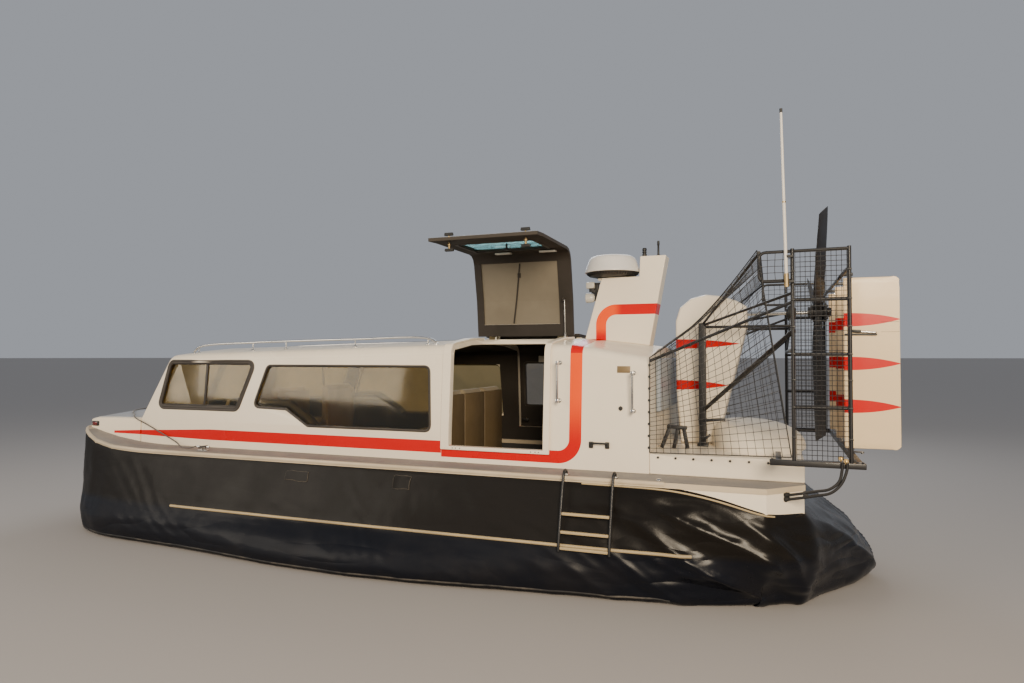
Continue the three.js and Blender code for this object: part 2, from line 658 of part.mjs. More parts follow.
// Each side has a tall frame beside the disc, a hoop ahead of it and stays forward to the tower.
function guardFrame() {
  const { y, front, aft, bottom, top, tube: r, railZ, hoopX, hoopY, loopZ, crossZ, rudderBeamZ } = CAGE;
  const hoopZ = top - r - 3;
  const footZ = [bottom - 44, bottom - 4];
  const post = DRIVE_POST;
  const bars = [];
  for (const side of [-1, 1]) {
    const at = (x, out, z) => vec(x, side * out, z);
    const bar = (from, to, radius) => bars.push(tube(at(...from), at(...to), radius));
    for (const x of [front, aft]) bar([x, y, bottom - 25], [x, y, top], r);
    for (const z of railZ) bar([front, y, z], [aft, y, z], r - 1);
    bars.push(box([-370, 240], [side * y - 20, side * y + 20], footZ));
    bars.push(box([160, 200], side > 0 ? [740, y] : [-y, -740], [footZ[0], bottom - 6]));

    bar([aft, y, hoopZ], [hoopX, hoopY, hoopZ], r - 1);
    bar([front - 1, y - 8, loopZ], [hoopX + 2, hoopY - 1, loopZ], r - 2);
    bar([hoopX, hoopY, loopZ - 8], [hoopX, hoopY, hoopZ - 2], r - 3);

    bar([post.x, post.y, 2075], [hoopX + 5, hoopY - 10, hoopZ - 5], r - 3);
    bar([front, y, 2250], [post.x - 3, post.y + 2, 2070], r - 2);
    bar([front - 4, y - 7, 1984], [post.x - 3, post.y + 3, 1342], r + 5);
    bar([front - 2, y - 15, 2188], [ENCLOSURE.aft - 3, 862, 1770], r - 1);

    bar([BEARING.x, 0, PROP.z - 60], [front - 3, y - 9, crossZ + 3], r - 2);
    bar([post.x - 3, post.y - 2, post.stayZ], [BEARING.x + 4, post.y - 4, post.stayZ], r - 1);
    bar([BEARING.x + 6, post.y - 2, post.stayZ - 2], [BEARING.x + 1, 30, PROP.z - 48], r + 1);
  }
  bars.push(tube(vec(hoopX, -hoopY - 4, hoopZ), vec(hoopX, hoopY + 4, hoopZ), r + 1));
  bars.push(tube(vec(front, -y - 3, crossZ), vec(front, y + 3, crossZ), r + 2));
  bars.push(box([-350, -310], [-y, y], [footZ[0], bottom + 6]));
  bars.push(box([aft - 10, aft + 10], [-y, y], rudderBeamZ));
  for (const armY of [-RUDDER.spacing, 0, RUDDER.spacing]) {
    bars.push(box([RUDDER.pivot - 16, aft], [armY - 14, armY + 14], rudderBeamZ));
  }
  const shaftWay = tube(vec(-400, 0, PROP.z), vec(660, 0, PROP.z), PROP.shaftRadius + BEARING.play, 16);
  return join([...bars, ...drivePosts(), bearing()]).subtract(solidOf(shaftWay));
}

// The net is laced from the enclosure's aft edges and the tower to the cage's front tubes.
// Corners run round each patch: low and high at the enclosure, then high and low at the cage.
function guardNet() {
  const edgeX = ENCLOSURE.aft - 5;
  const sidePatch = [
    vec(edgeX, 924, 1047),
    vec(edgeX, 904, 1796),
    vec(CAGE.hoopX + 13, CAGE.y - 3, CAGE.top),
    vec(CAGE.front + 17, CAGE.y + 17, 1102),
  ];
  const towerSideY = 158;
  const topPatch = [
    sidePatch[1],
    vec(edgeX, towerSideY, 1892),
    vec(CAGE.hoopX + 13, towerSideY, CAGE.top),
    sidePatch[2],
  ];
  return join([...netCords(sidePatch, 5, 4, 2.5), ...netCords(topPatch, 3, 4, 2.4)]);
}

function netCords([a, b, c, d], acrossCount, alongCount, half) {
  const cord = (from, to, size) =>
    between(new THREE.BoxGeometry(size * 2, from.distanceTo(to), size * 2), from, to);
  const along = Array.from({ length: acrossCount + 1 }, (_, i) => {
    const t = i / acrossCount;
    return cord(a.clone().lerp(b, t), d.clone().lerp(c, t), i % acrossCount ? half : half + 1.1);
  });
  const across = Array.from({ length: alongCount + 1 }, (_, i) => {
    const t = i / alongCount;
    return cord(a.clone().lerp(d, t), b.clone().lerp(c, t), i % alongCount ? half - 0.3 : half + 0.8);
  });
  return [...along, ...across];
}

function guardMesh(side) {
  const y = side * (CAGE.y + CAGE.tube + 5);
  const holes = [];
  const columns = 3;
  const rows = 12;
  const x0 = CAGE.aft + 16;
  const x1 = CAGE.front - 16;
  const z0 = CAGE.bottom + 2;
  const z1 = CAGE.top - 28;
  const bar = 7;
  const stepX = (x1 - x0 - bar) / columns;
  const stepZ = (z1 - z0 - bar) / rows;
  for (let c = 0; c < columns; c++) {
    for (let r = 0; r < rows; r++) {
      const hx = x0 + bar + c * stepX;
      const hz = z0 + bar + r * stepZ;
      holes.push(solidBox([hx, hx + stepX - bar], [y - 20, y + 20], [hz, hz + stepZ - bar]));
    }
  }
  return holes.reduce((plate, hole) => plate.subtract(hole), solidBox([x0, x1], [y - 3, y + 3], [z0, z1]));
}

// Pylon, scanner dome and small fittings

function pylon() {
  const seatZ = SCANNER.z;
  const corners = [
    [1885, 1880], [1700, seatZ], [1350, seatZ], [1340, PYLON_TOP_Z], [1105, PYLON_TOP_Z], [1268, 1850],
  ];
  const block = solidOf(sidePlate(corners, -105, 105));
  const bracket = solidOf(sidePlate([[1690, seatZ], [1690, 2500], [1745, 2522], [1745, seatZ]], -80, 80));
  const under = bodySolid(ENCLOSURE_SECTIONS, -GAP, 500, 0, 0);
  return block.subtract(under).add(bracket);
}

function radome() {
  const profile = [
    [0, 0], [150, 0], [236, 30], [262, 54], [262, 70], [234, 160], [215, 190], [178, 207], [0, 215],
  ];
  return new THREE.LatheGeometry(profile.map(([r, h]) => new THREE.Vector2(r, h)), 28)
    .rotateX(Math.PI / 2)
    .translate(SCANNER.x, 0, SCANNER.z + GAP);
}

// Two lamps, one above the other, on a bracket ahead of the pylon's leading edge.
function pylonLamps() {
  const bracket = sidePlate([[1765, 2330], [1795, 2330], [1795, 2505], [1722, 2505]], -22, 22);
  const upper = tube(vec(1785, 0, 2474), vec(1860, 0, 2474), 38, 14);
  const lower = tube(vec(1785, 0, 2366), vec(1875, 0, 2360), 46, 14);
  return join([bracket, upper, lower]);
}

function mastLights() {
  const base = PYLON_TOP_Z + 5;
  return join([
    box([1170, 1340], [-30, 30], [PYLON_TOP_Z + GAP, PYLON_TOP_Z + 10]),
    tube(vec(1318, 0, base), vec(1318, 0, base + 82), 22, 12),
    tube(vec(1190, 0, base), vec(1190, 0, base + 142), 12, 10),
  ]);
}

function roofRail(side) {
  const y = side * 700;
  const stemRise = [[5963, 62], [5239, 78], [4821, 76], [4001, 70], [3206, 56]];
  const tops = stemRise.map(([x, rise]) => vec(x, y, roofTop(x, 700) + rise));
  const path = [vec(6030, y, roofTop(6030, 700) + 14), ...tops, vec(3120, y, roofTop(3120, 700) + 14)];
  const stems = tops.map(({ x, z }) => tube(vec(x, y + 1, roofTop(x, 700) + 2), vec(x, y + 1, z + 2), 7));
  return join([bentTube(path, 11, 8, 24), ...stems]);
}
const roofTop = (x, y) => {
  const after = CABIN_SECTIONS.findIndex((section) => section.xHigh >= x);
  const a = CABIN_SECTIONS[after - 1];
  const b = CABIN_SECTIONS[after];
  const t = (x - a.xHigh) / (b.xHigh - a.xHigh);
  const edge = a.edge + (b.edge - a.edge) * t;
  const crown = a.crown + (b.crown - a.crown) * t;
  const half = a.halfHigh + (b.halfHigh - a.halfHigh) * t;
  const shoulder = edge + (crown - edge) * 0.74;
  return THREE.MathUtils.mapLinear(Math.abs(y), half * 0.5, half - 80, shoulder, edge);
};

function grabRail(x, z0, z1) {
  const y = 962;
  return join([
    tube(vec(x, y, z0), vec(x, y, z1), 10),
    ...[z0 + 8, z1 - 8].map((z) => tube(vec(x, y, z), vec(x, sideY(z) + 3, z), 8)),
  ]);
}
const sideY = (z) => THREE.MathUtils.mapLinear(z, CABIN.beltZ, 1840, 914, 866);

function ladder() {
  const drop = [[1215, 895], [1240, 925], [1285, 915], [1312, 850], [1375, 640], [1436, 400], [1440, 350]];
  const poles = [1335, 1720].map((x) => bentTube(drop.map(([y, z]) => vec(x, y, z)), 11, 8, 18));
  const steps = [[1386, 620], [1418, 490], [1437, 375]]
    .map(([y, z]) => tube(vec(1333, y, z), vec(1722, y, z), 12));
  return join([...poles, ...steps]);
}

function cleat(x, y, z) {
  const { half, hornZ } = SIDE_CLEAT;
  return joined([
    box([x - 60, x + 60], [y - 18, y + 18], [z - 5, z + 10]),
    box([x - 25, x - 10], [y - 8, y + 8], [z + 8, z + 34]),
    box([x + 10, x + 25], [y - 8, y + 8], [z + 8, z + 34]),
    tube(vec(x - half, y, z + hornZ), vec(x + half, y, z + hornZ), 9),
  ]);
}

function antenna() {
  return join([
    tube(vec(146, CAGE.y + 22, 3550), vec(118, CAGE.y + 22, 2290), 12, 10),
    tube(vec(121, CAGE.y + 22, 2420), vec(118, CAGE.y + 22, 2280), 17, 10),
  ]);
}

function steeringHoses() {
  const hose = (drop) => bentTube([
    vec(128, 1120, 820 - drop),
    vec(35, 1172, 848 - drop),
    vec(-59, 1207, 876 - drop),
    vec(-140 - drop / 3, 1230, 900 - drop * 0.8),
    vec(-200 - drop / 2, 1230, 955 - drop * 0.4),
    vec(-220 - drop, 1222, 1035),
  ], 10, 8, 24);
  const glands = [820, 790].map((z) => tube(vec(136.5, 1111.8, z), vec(127, 1121, z), 14, 12));
  return join([hose(0), hose(30), box([-10, 25], [1163, 1190], [818, 866]), ...glands]);
}

// From the port cleat up across the cabin's foot and over the foredeck to the bow cleat.
function mooringRope() {
  const start = SIDE_CLEAT.x + SIDE_CLEAT.half + 1;
  const bowHornZ = BOW_CLEAT.z + SIDE_CLEAT.hornZ;
  return bentTube([
    vec(start, 1110, 914), vec(start + 12, 1110, 914), vec(5640, 1104, 896), vec(5740, 1080, 887),
    vec(5880, 1012, 889), vec(6010, 946, 918), vec(6260, 932, 1012), vec(6470, 918, 1090),
    vec(6590, 912, 1130), vec(6640, 905, 1151), vec(6690, 872, 1165), vec(6780, 790, 1168),
    vec(6900, 700, 1174), vec(7030, 594, 1181), vec(7115, 480, 1188), vec(7158, 350, 1192),
    vec(7168, 230, 1196), vec(7163, 150, 1207),
    vec(BOW_CLEAT.x, SIDE_CLEAT.half + 14, bowHornZ),
    vec(BOW_CLEAT.x, SIDE_CLEAT.half + 2, bowHornZ),
  ], ROPE_RADIUS, 8, 70);
}

// Inside the cabin

function seat(x, y, width) {
  return joined([
    box([x, x + 480], [y - width / 2, y + width / 2], [HULL.floor + GAP, 1060]),
    box([x - 120, x + 10], [y - width / 2, y + width / 2], [HULL.floor + GAP, 1500]),
  ]);
}

// Two seats on one low plinth.
function frontSeats() {
  const plinth = box([5100, 5500], [-300, 300], [HULL.floor + GAP, 720]);
  return join([seat(5050, 420, 520), seat(5050, -420, 520), plinth]);
}

function dashboard() {
  const corners = [[6290, 990], [5880, 990], [5820, 1120], [5860, 1215], [6240, 1150], [6290, 1100]];
  return sidePlate(corners, -790, 790);
}

// Assembly

const craft = new THREE.Group();
craft.position.x = TRANSOM_X;

function add(name, shape, look, group = craft) {
  const geometry = geometryOf(shape.isBufferGeometry ? solidOf(shape) : shape);
  const mesh = new THREE.Mesh(geometry, new THREE.MeshStandardMaterial(look));
  mesh.name = name;
  group.add(mesh);
  return mesh;
}

const SIDES = [["port", 1], ["starboard", -1]];
const onSide = (shape, side) => {
  const geometry = shape.isBufferGeometry ? shape : geometryOf(shape);
  return side > 0 ? geometry : mirrored(geometry);
};

add("hull", hull(), PAINT);
add("topsides", topsides(), PAINT);
add("stern_block", sternBlock(), PAINT);
add("gunwale", gunwale(), DECK_GREY);
add("foredeck", foredeck(), PAINT);
add("skirt", skirt(), SKIRT_RUBBER);
add("cabin_front", cabinFront(), PAINT);
add("windscreen", windscreen(), GLASS_TINT);
add("cabin_roof", cabinRoof(), PAINT);
add("rear_bulkhead", rearBulkhead(), PAINT);
add("engine_enclosure", enclosure(), PAINT);
add("engine_block", box([1290, 1880], [-330, 330], [DECK_Z + GAP, 1560]), DARK_TRIM);
add("radiator", box([1085, ENCLOSURE.aft - GAP], [-480, 600], [1340, 1790]), DARK_TRIM);
add("aft_body", box([0, ENCLOSURE.aft - GAP], [-920, 920], [DECK_Z + GAP, AFT_DECK_Z]), PAINT);
add("aft_dome", aftDome(), PAINT);
add("drive_tower", tower(), PAINT);
add("dashboard", dashboard(), DARK_TRIM);
add("front_seats", frontSeats(), SEAT_CLOTH);
add("bench_rear", seat(3150, 0, 1500), SEAT_CLOTH);

for (const [name, side] of SIDES) {
  add(`cabin_side_${name}`, cabinSide(side), PAINT);
  add(`window_front_${name}`, glassPane(windowPrism(shrunkWindow(FRONT_WINDOW)), side), GLASS_TINT);
  add(`window_long_${name}`, glassPane(windowPrism(shrunkWindow(LONG_WINDOW)), side), GLASS_TINT);
  add(`door_flange_${name}`, onSide(doorFlange(), side), PAINT);
  add(`roof_rail_${name}`, onSide(roofRail(1), side), STEEL);
  add(`grab_rail_front_${name}`, onSide(grabRail(1875, 1430, 1760), side), STEEL);
  add(`grab_rail_rear_${name}`, onSide(grabRail(1255, 1360, 1680), side), STEEL);
  add(`guard_mesh_${name}`, guardMesh(side), BLACK_METAL);
  add(`guard_net_${name}`, onSide(guardNet(), side), DARK_TRIM);
}

SIDES.forEach(([name, side]) => {
  const openDeg = name === "port" ? DOOR.openDeg : 0;
  const hinge = new THREE.Group();
  hinge.position.set(0, side * DOOR.hingeY, DOOR.hingeZ);
  hinge.rotation.x = side * radians(openDeg);
  const hung = (shape) => onSide(shape, side).clone().translate(0, -side * DOOR.hingeY, -DOOR.hingeZ);
  add(`door_${name}`, hung(doorFrame()), PAINT, hinge);
  add(`door_window_${name}`, hung(doorPane(doorLightPrism(GAP))), GLASS_TINT, hinge);
  add(`door_roof_panel_${name}`, hung(doorPane(roofLightPrism(GAP))), SEAT_CLOTH, hinge);
  craft.add(hinge);

  const eye = strutEyeAt(openDeg);
  const lean = Math.atan2(eye.z - STRUT.baseZ, eye.y - STRUT.baseY);
  const strut = new THREE.Group();
  strut.position.set(STRUT.x, side * STRUT.baseY, STRUT.baseZ);
  strut.rotation.x = side > 0 ? lean : Math.PI - lean;
  add(`strut_barrel_${name}`, strutBarrel(), STEEL, strut);
  add(`strut_rod_${name}`, strutRod(openDeg), STEEL, strut);
  craft.add(strut);
});

add("guard_frame", guardFrame(), BLACK_METAL);
const spinner = new THREE.Group();
spinner.position.set(PROP.x, 0, PROP.z);
add("propeller", propeller(), BLACK_METAL, spinner);
craft.add(spinner);

[["port", 1], ["centre", 0], ["starboard", -1]].forEach(([name, side]) => {
  const blade = rudder().translate(0, side * RUDDER.spacing, 0);
  add(`rudder_${name}`, blade, PAINT);
});

add("pylon", pylon(), PAINT);
add("scanner_dome", radome(), PAINT);
add("pylon_lamps", pylonLamps(), BLACK_METAL);
add("mast_lights", mastLights(), BLACK_METAL);
add("antenna", antenna(), STEEL);
add("boarding_ladder", ladder(), BLACK_METAL);
add("steering_hoses", steeringHoses(), DARK_TRIM);
add("mooring_rope", mooringRope(), DARK_TRIM);

export default craft;
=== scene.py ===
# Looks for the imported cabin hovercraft: skirt, glazing, nets, rope, fittings and finishes.
# Everything is in metres in the row frame. at() takes a place given forward of the transom.

import json
import math

import bmesh
import bpy
from mathutils import Matrix, Vector, noise

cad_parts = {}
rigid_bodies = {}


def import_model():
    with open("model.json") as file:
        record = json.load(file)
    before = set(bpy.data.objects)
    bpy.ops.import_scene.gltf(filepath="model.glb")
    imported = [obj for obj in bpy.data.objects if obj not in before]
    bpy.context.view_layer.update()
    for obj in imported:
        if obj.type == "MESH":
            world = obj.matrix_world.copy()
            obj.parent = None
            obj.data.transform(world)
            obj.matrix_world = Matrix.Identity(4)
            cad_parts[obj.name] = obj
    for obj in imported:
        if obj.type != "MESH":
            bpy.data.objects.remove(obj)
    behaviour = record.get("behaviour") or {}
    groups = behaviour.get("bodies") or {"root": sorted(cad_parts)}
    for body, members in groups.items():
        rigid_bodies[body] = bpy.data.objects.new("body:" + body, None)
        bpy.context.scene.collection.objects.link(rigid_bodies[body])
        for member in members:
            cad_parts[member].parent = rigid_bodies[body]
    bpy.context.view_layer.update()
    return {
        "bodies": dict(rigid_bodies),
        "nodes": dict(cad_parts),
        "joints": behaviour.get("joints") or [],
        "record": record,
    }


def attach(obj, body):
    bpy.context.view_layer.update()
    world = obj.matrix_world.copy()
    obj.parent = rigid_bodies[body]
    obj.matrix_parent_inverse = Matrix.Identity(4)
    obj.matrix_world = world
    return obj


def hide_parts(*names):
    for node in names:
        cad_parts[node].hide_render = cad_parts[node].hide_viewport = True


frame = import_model()
NODES = frame["nodes"]
TRANSOM_X = -3.35
SIDES = (("port", 1), ("starboard", -1))
UP = Vector((0, 0, 1))


def at(forward, left, up):
    return Vector((forward + TRANSOM_X, left, up))


def forward_of(spot):
    return spot.x - TRANSOM_X


def unit(value):
    """The value held between 0 and 1."""
    return min(max(value, 0.0), 1.0)


def turn_of(degrees, axis, size=3):
    return Matrix.Rotation(math.radians(degrees), size, axis)


def in_threes(ring):
    """Each item of a closed ring between the items before and after it."""
    return zip(ring[-1:] + ring[:-1], ring, ring[1:] + ring[:1])


# Camera, floor and light

EYE = Vector((-3.128, 6.357, 1.80))
LOOK = Vector((0.3551, -0.9348, 0.0))
PITCH_UP = math.radians(1.30)
LENS, SENSOR = 24, 36
LAMPS = (
    ("key", (-6.5, 11.0, 5.0), 1650, 4.0, (1.0, 0.83, 0.61)),
    ("fill", (8.0, 9.0, 5.0), 520, 6.0, (1.0, 0.89, 0.74)),
    ("back", (1.0, -8.0, 7.0), 400, 6.0, (0.92, 0.96, 1.0)),
)
FLOOR_HALF, FLOOR_DROP = 1200, 0.002
FLOOR_COLOR = (0.40, 0.375, 0.355, 1)
SKY_COLOR, SKY_STRENGTH = (0.80, 0.84, 0.92, 1), 0.42


def add_object(name, data):
    holder = bpy.data.objects.new(name, data)
    bpy.context.scene.collection.objects.link(holder)
    return holder


def face_towards(holder, direction):
    holder.rotation_euler = direction.to_track_quat("-Z", "Y").to_euler()


def set_up_view():
    camera = add_object("camera", bpy.data.cameras.new("camera"))
    camera.data.lens = LENS
    camera.data.sensor_width = SENSOR
    camera.data.clip_end = 3000
    camera.location = EYE
    face_towards(camera, LOOK.normalized() * math.cos(PITCH_UP) + UP * math.sin(PITCH_UP))
    bpy.context.scene.camera = camera


def set_up_stage():
    floor = add_object("floor", bpy.data.meshes.new("floor"))
    sheet = bmesh.new()
    bmesh.ops.create_grid(sheet, x_segments=1, y_segments=1, size=FLOOR_HALF)
    sheet.to_mesh(floor.data)
    sheet.free()
    floor.location.z = -FLOOR_DROP
    paint = bpy.data.materials.new("floor_paint")
    paint.use_nodes = True
    coat = paint.node_tree.nodes["Principled BSDF"].inputs
    coat["Base Color"].default_value = FLOOR_COLOR
    coat["Roughness"].default_value = 0.85
    floor.data.materials.append(paint)

    world = bpy.data.worlds.new("studio")
    world.use_nodes = True
    backdrop = world.node_tree.nodes["Background"].inputs
    backdrop["Color"].default_value = SKY_COLOR
    backdrop["Strength"].default_value = SKY_STRENGTH
    bpy.context.scene.world = world

    for name, place, energy, size, tint in LAMPS:
        lamp = bpy.data.lights.new(name, "AREA")
        lamp.energy = energy
        lamp.size = size
        lamp.color = tint
        holder = add_object(name, lamp)
        holder.location = place
        face_towards(holder, UP - Vector(place))


set_up_view()
set_up_stage()


# Shader graphs

class Graph:
    """Adds nodes to a shader tree.

    An input takes a value or another node's output, and its name is written with _ for a space.
    """

    def __init__(self, tree, shader=None):
        self.tree = tree
        self.shader = shader

    def feed(self, socket, value):
        if isinstance(value, bpy.types.NodeSocket):
            self.tree.links.new(value, socket)
        else:
            socket.default_value = value

    def feed_all(self, sockets, values):
        for key, value in values.items():
            self.feed(sockets[key.replace("_", " ")], value)

    def paint(self, **inputs):
        self.feed_all(self.shader.inputs, inputs)

    def node(self, kind, settings=(), **inputs):
        made = self.tree.nodes.new(f"ShaderNode{kind}")
        for key, value in settings:
            setattr(made, key, value)
        self.feed_all(made.inputs, inputs)
        return made

    def maths(self, operation, *values, clamp=False):
        made = self.node("Math", (("operation", operation), ("use_clamp", clamp)))
        for socket, value in zip(made.inputs, values):
            self.feed(socket, value)
        return made.outputs[0]

    def plus(self, one, other):
        return self.maths("ADD", one, other)

    def minus(self, one, other):
        return self.maths("SUBTRACT", one, other)

    def times(self, one, other):
        return self.maths("MULTIPLY", one, other)

    def most(self, one, *others):
        for other in others:
            one = self.maths("MAXIMUM", one, other)
        return one

    def ramp(self, value, low, high, start=0.0, end=1.0, kind="SMOOTHSTEP"):
        """Runs from start to end while value runs from low to high."""
        made = self.node("MapRange", (("interpolation_type", kind),), Value=value)
        for socket, number in zip(list(made.inputs)[1:5], (low, high, start, end)):
            self.feed(socket, number)
        return made.outputs[0]

    def mix(self, share, first, second):
        made = self.node("Mix", (("data_type", "RGBA"),))
        for index, value in ((0, share), (6, first), (7, second)):
            self.feed(made.inputs[index], (*value, 1) if isinstance(value, tuple) else value)
        return made.outputs[2]

    def place(self):
        return self.node("TexCoord").outputs["Object"]

    def axes(self):
        return self.node("SeparateXYZ", Vector=self.place()).outputs

    def noise(self, place, scale, detail, roughness):
        return self.node("TexNoise", Vector=place, Scale=scale, Detail=detail, Roughness=roughness).outputs[0]

    def stretched(self, place, scale, turn=(0.0, 0.0, 0.0)):
        return self.node("Mapping", Vector=place, Rotation=turn, Scale=scale).outputs[0]

    def group(self, group, **inputs):
        made = self.node("Group", (("node_tree", group),))
        self.feed_all(made.inputs, inputs)
        return made.outputs

    def relief(self, height, distance, strength=0.5):
        bump = self.node("Bump", Height=height, Strength=strength, Distance=distance)
        self.paint(Normal=bump.outputs["Normal"])


def new_group(name, inputs, outputs):
    tree = bpy.data.node_groups.new(name, "ShaderNodeTree")
    for label, default in inputs:
        socket = tree.interface.new_socket(name=label, in_out="INPUT", socket_type="NodeSocketFloat")
        socket.default_value = default
    for label in outputs:
        tree.interface.new_socket(name=label, in_out="OUTPUT", socket_type="NodeSocketFloat")
    return Graph(tree), tree.nodes.new("NodeGroupInput").outputs, tree.nodes.new("NodeGroupOutput").inputs


def build_grain():
    """Fine surface relief, and a slow mottling for colour."""
    graph, given, out = new_group("surface_grain", (("Scale", 60.0), ("Mottle Scale", 1.5)),
                                  ("Height", "Mottle"))
    place = graph.place()
    graph.feed(out["Height"], graph.noise(place, given["Scale"], 3.0, 0.6))
    graph.feed(out["Mottle"], graph.noise(place, given["Mottle Scale"], 4.0, 0.6))
    return graph.tree


def build_dust():
    """Dust that settles low down and on faces that look up."""
    graph, given, out = new_group("settled_dust", (("Top", 0.5), ("Amount", 0.5), ("Scale", 4.0)), ("Mask",))
    normal = graph.node("NewGeometry").outputs["Normal"]
    facing = graph.node("SeparateXYZ", Vector=normal).outputs["Z"]
    low = graph.ramp(graph.axes()["Z"], given["Top"], 0.0)
    flat = graph.ramp(facing, 0.2, 1.0, 0.0, 0.6)
    blotch = graph.ramp(graph.noise(graph.place(), given["Scale"], 6.0, 0.65), 0.42, 0.68)
    where = graph.times(graph.most(low, flat), blotch)
    graph.feed(out["Mask"], graph.maths("MULTIPLY", where, given["Amount"], clamp=True))
    return graph.tree


def build_band():
    """A painted band that runs level, turns on an arc and runs upright."""
    graph, given, out = new_group("painted_band", (
        ("Across", -1.0), ("Rise", 0.0), ("Radius", 0.15), ("Half Width", 0.05)), ("Mask",))
    across, rise = (graph.maths("POWER", graph.most(given[way], 0.0), 2.0) for way in ("Across", "Rise"))
    reach = graph.maths("SQRT", graph.plus(across, rise))
    off = graph.maths("ABSOLUTE", graph.minus(reach, given["Radius"]))
    graph.feed(out["Mask"], graph.ramp(graph.minus(given["Half Width"], off), -0.001, 0.001))
    return graph.tree


def build_weave():
    """Two crossed sets of threads, for cloth, cord and coated fabric."""
    graph, given, out = new_group("thread_weave", (("Thread", 800.0),), ("Height",))
    axes = graph.axes()
    waves = [graph.maths("SINE", graph.times(axes[axis], given["Thread"])) for axis in "XYZ"]
    graph.feed(out["Height"], graph.ramp(graph.plus(waves[0], graph.times(waves[1], waves[2])), -1.5, 1.5))
    return graph.tree


GRAIN = build_grain()
DUST = build_dust()
BAND = build_band()
WEAVE = build_weave()
MATERIALS = {}
SLOTS = {}


def new_finish(name, slot, roughness, metallic=0.0, coat=0.0):
    material = bpy.data.materials.new(name)
    material.use_nodes = True
    MATERIALS[name], SLOTS[name] = material, slot
    graph = Graph(material.node_tree, material.node_tree.nodes["Principled BSDF"])
    graph.paint(Roughness=roughness, Metallic=metallic, Coat_Weight=coat)
    return graph


DUST_COLOR = (0.42, 0.36, 0.28)


def coloured(graph, base, shade, top=0.5, amount=0.5, mottle=1.5, dust_scale=4.0, grain=60.0, relief=0.0006,
             rough=None, strength=0.4):
    """The common coat: a mottled colour under dust, with fine relief and uneven gloss."""
    fine = graph.group(GRAIN, Scale=grain, Mottle_Scale=mottle)
    film = graph.group(DUST, Top=top, Amount=amount, Scale=dust_scale)
    tone = graph.mix(graph.ramp(fine["Mottle"], 0.3, 0.7), base, shade)
    finished = graph.mix(film["Mask"], tone, DUST_COLOR)
    graph.paint(Base_Color=finished)
    if rough:
        graph.paint(Roughness=graph.ramp(fine["Mottle"], 0.3, 0.75, *rough))
    graph.relief(fine["Height"], relief, strength)
    return finished


RED = (0.60, 0.001, 0.0005)
ORANGE = (0.95, 0.085, 0.0)
CREAM = (0.90, 0.81, 0.66)
CREAM_SHADE = (0.85, 0.76, 0.61)


def leaf_bands(rows):
    """Level stripes that narrow in a curve to a tip. Each row: middle, half width, blunt end and tip."""
    def stripe(graph, axes):
        masks = []
        for middle, half, blunt, tip in rows:
            run = graph.ramp(axes["X"], blunt + TRANSOM_X, tip + TRANSOM_X, kind="LINEAR")
            width = graph.times(graph.minus(1.0, graph.maths("POWER", run, 2.2)), half)
            masks.append(graph.group(BAND, Rise=axes["Z"], Radius=middle, Half_Width=width)["Mask"])
        return graph.most(*masks), RED
    return stripe


def hull_stripe(graph, axes):
    """Level along the cabin from a tip at the bow, then up and over the engine enclosure."""
    forward = graph.minus(axes["X"], TRANSOM_X)
    taper = graph.ramp(forward, 5.6, 6.93, kind="LINEAR")
    half = graph.times(graph.minus(1.3, taper), 0.041)
    middle = graph.minus(1.006, graph.times(taper, 0.018))
    ahead = graph.group(BAND, Rise=axes["Z"], Radius=middle, Half_Width=half)["Mask"]
    ahead = graph.times(ahead, graph.ramp(forward, 2.955, 2.965))
    ahead = graph.times(ahead, graph.ramp(forward, 6.925, 6.915))
    turned = graph.group(BAND, Across=graph.minus(1.885, forward), Rise=graph.minus(1.122, axes["Z"]),
                         Radius=0.15, Half_Width=0.052)["Mask"]
    turned = graph.times(turned, graph.ramp(forward, 2.965, 2.955))
    orange = graph.times(graph.ramp(axes["Z"], 1.05, 1.50), graph.ramp(axes["Z"], 1.836, 1.832))
    return graph.most(ahead, turned), graph.mix(orange, RED, ORANGE)


def pylon_stripe(graph, axes):
    forward = graph.minus(axes["X"], TRANSOM_X)
    mask = graph.group(BAND, Across=graph.minus(forward, 1.565), Rise=graph.minus(axes["Z"], 2.098),
                       Radius=0.142, Half_Width=0.048)["Mask"]
    orange = graph.times(graph.ramp(forward, 1.50, 1.60), graph.ramp(axes["Z"], 1.98, 2.08))
    return mask, graph.mix(orange, RED, ORANGE)


def gelcoat(name, slot="white_gelcoat", stripe=None, base=CREAM, shade=CREAM_SHADE):
    graph = new_finish(name, slot, 0.3, coat=0.08)
    graph.paint(Specular_IOR_Level=0.28)
    finished = coloured(graph, base, shade, amount=0.35, top=0.9, mottle=0.8, dust_scale=3.0, grain=25.0,
                        relief=0.0004, rough=(0.24, 0.42), strength=0.25)
    if stripe:
        mask, paint = stripe(graph, graph.axes())
        graph.paint(Base_Color=graph.mix(mask, finished, paint))


def plain(name, slot, base, shade, roughness, metallic=0.0, coat=0.0, grain=80.0, relief=0.0004, **film):
    graph = new_finish(name, slot, roughness, metallic, coat)
    spread = 0.12
    coloured(graph, base, shade, grain=grain, relief=relief,
             rough=(max(roughness - spread, 0.05), min(roughness + spread, 1.0)), **film)


def woven(name, slot, base, shade, thread, relief=0.0008):
    graph = new_finish(name, slot, 0.85)
    coloured(graph, base, shade, amount=0.1, mottle=3.0)
    graph.relief(graph.group(WEAVE, Thread=thread)["Height"], relief)
    graph.paint(Sheen_Weight=0.25, Sheen_Roughness=0.5)


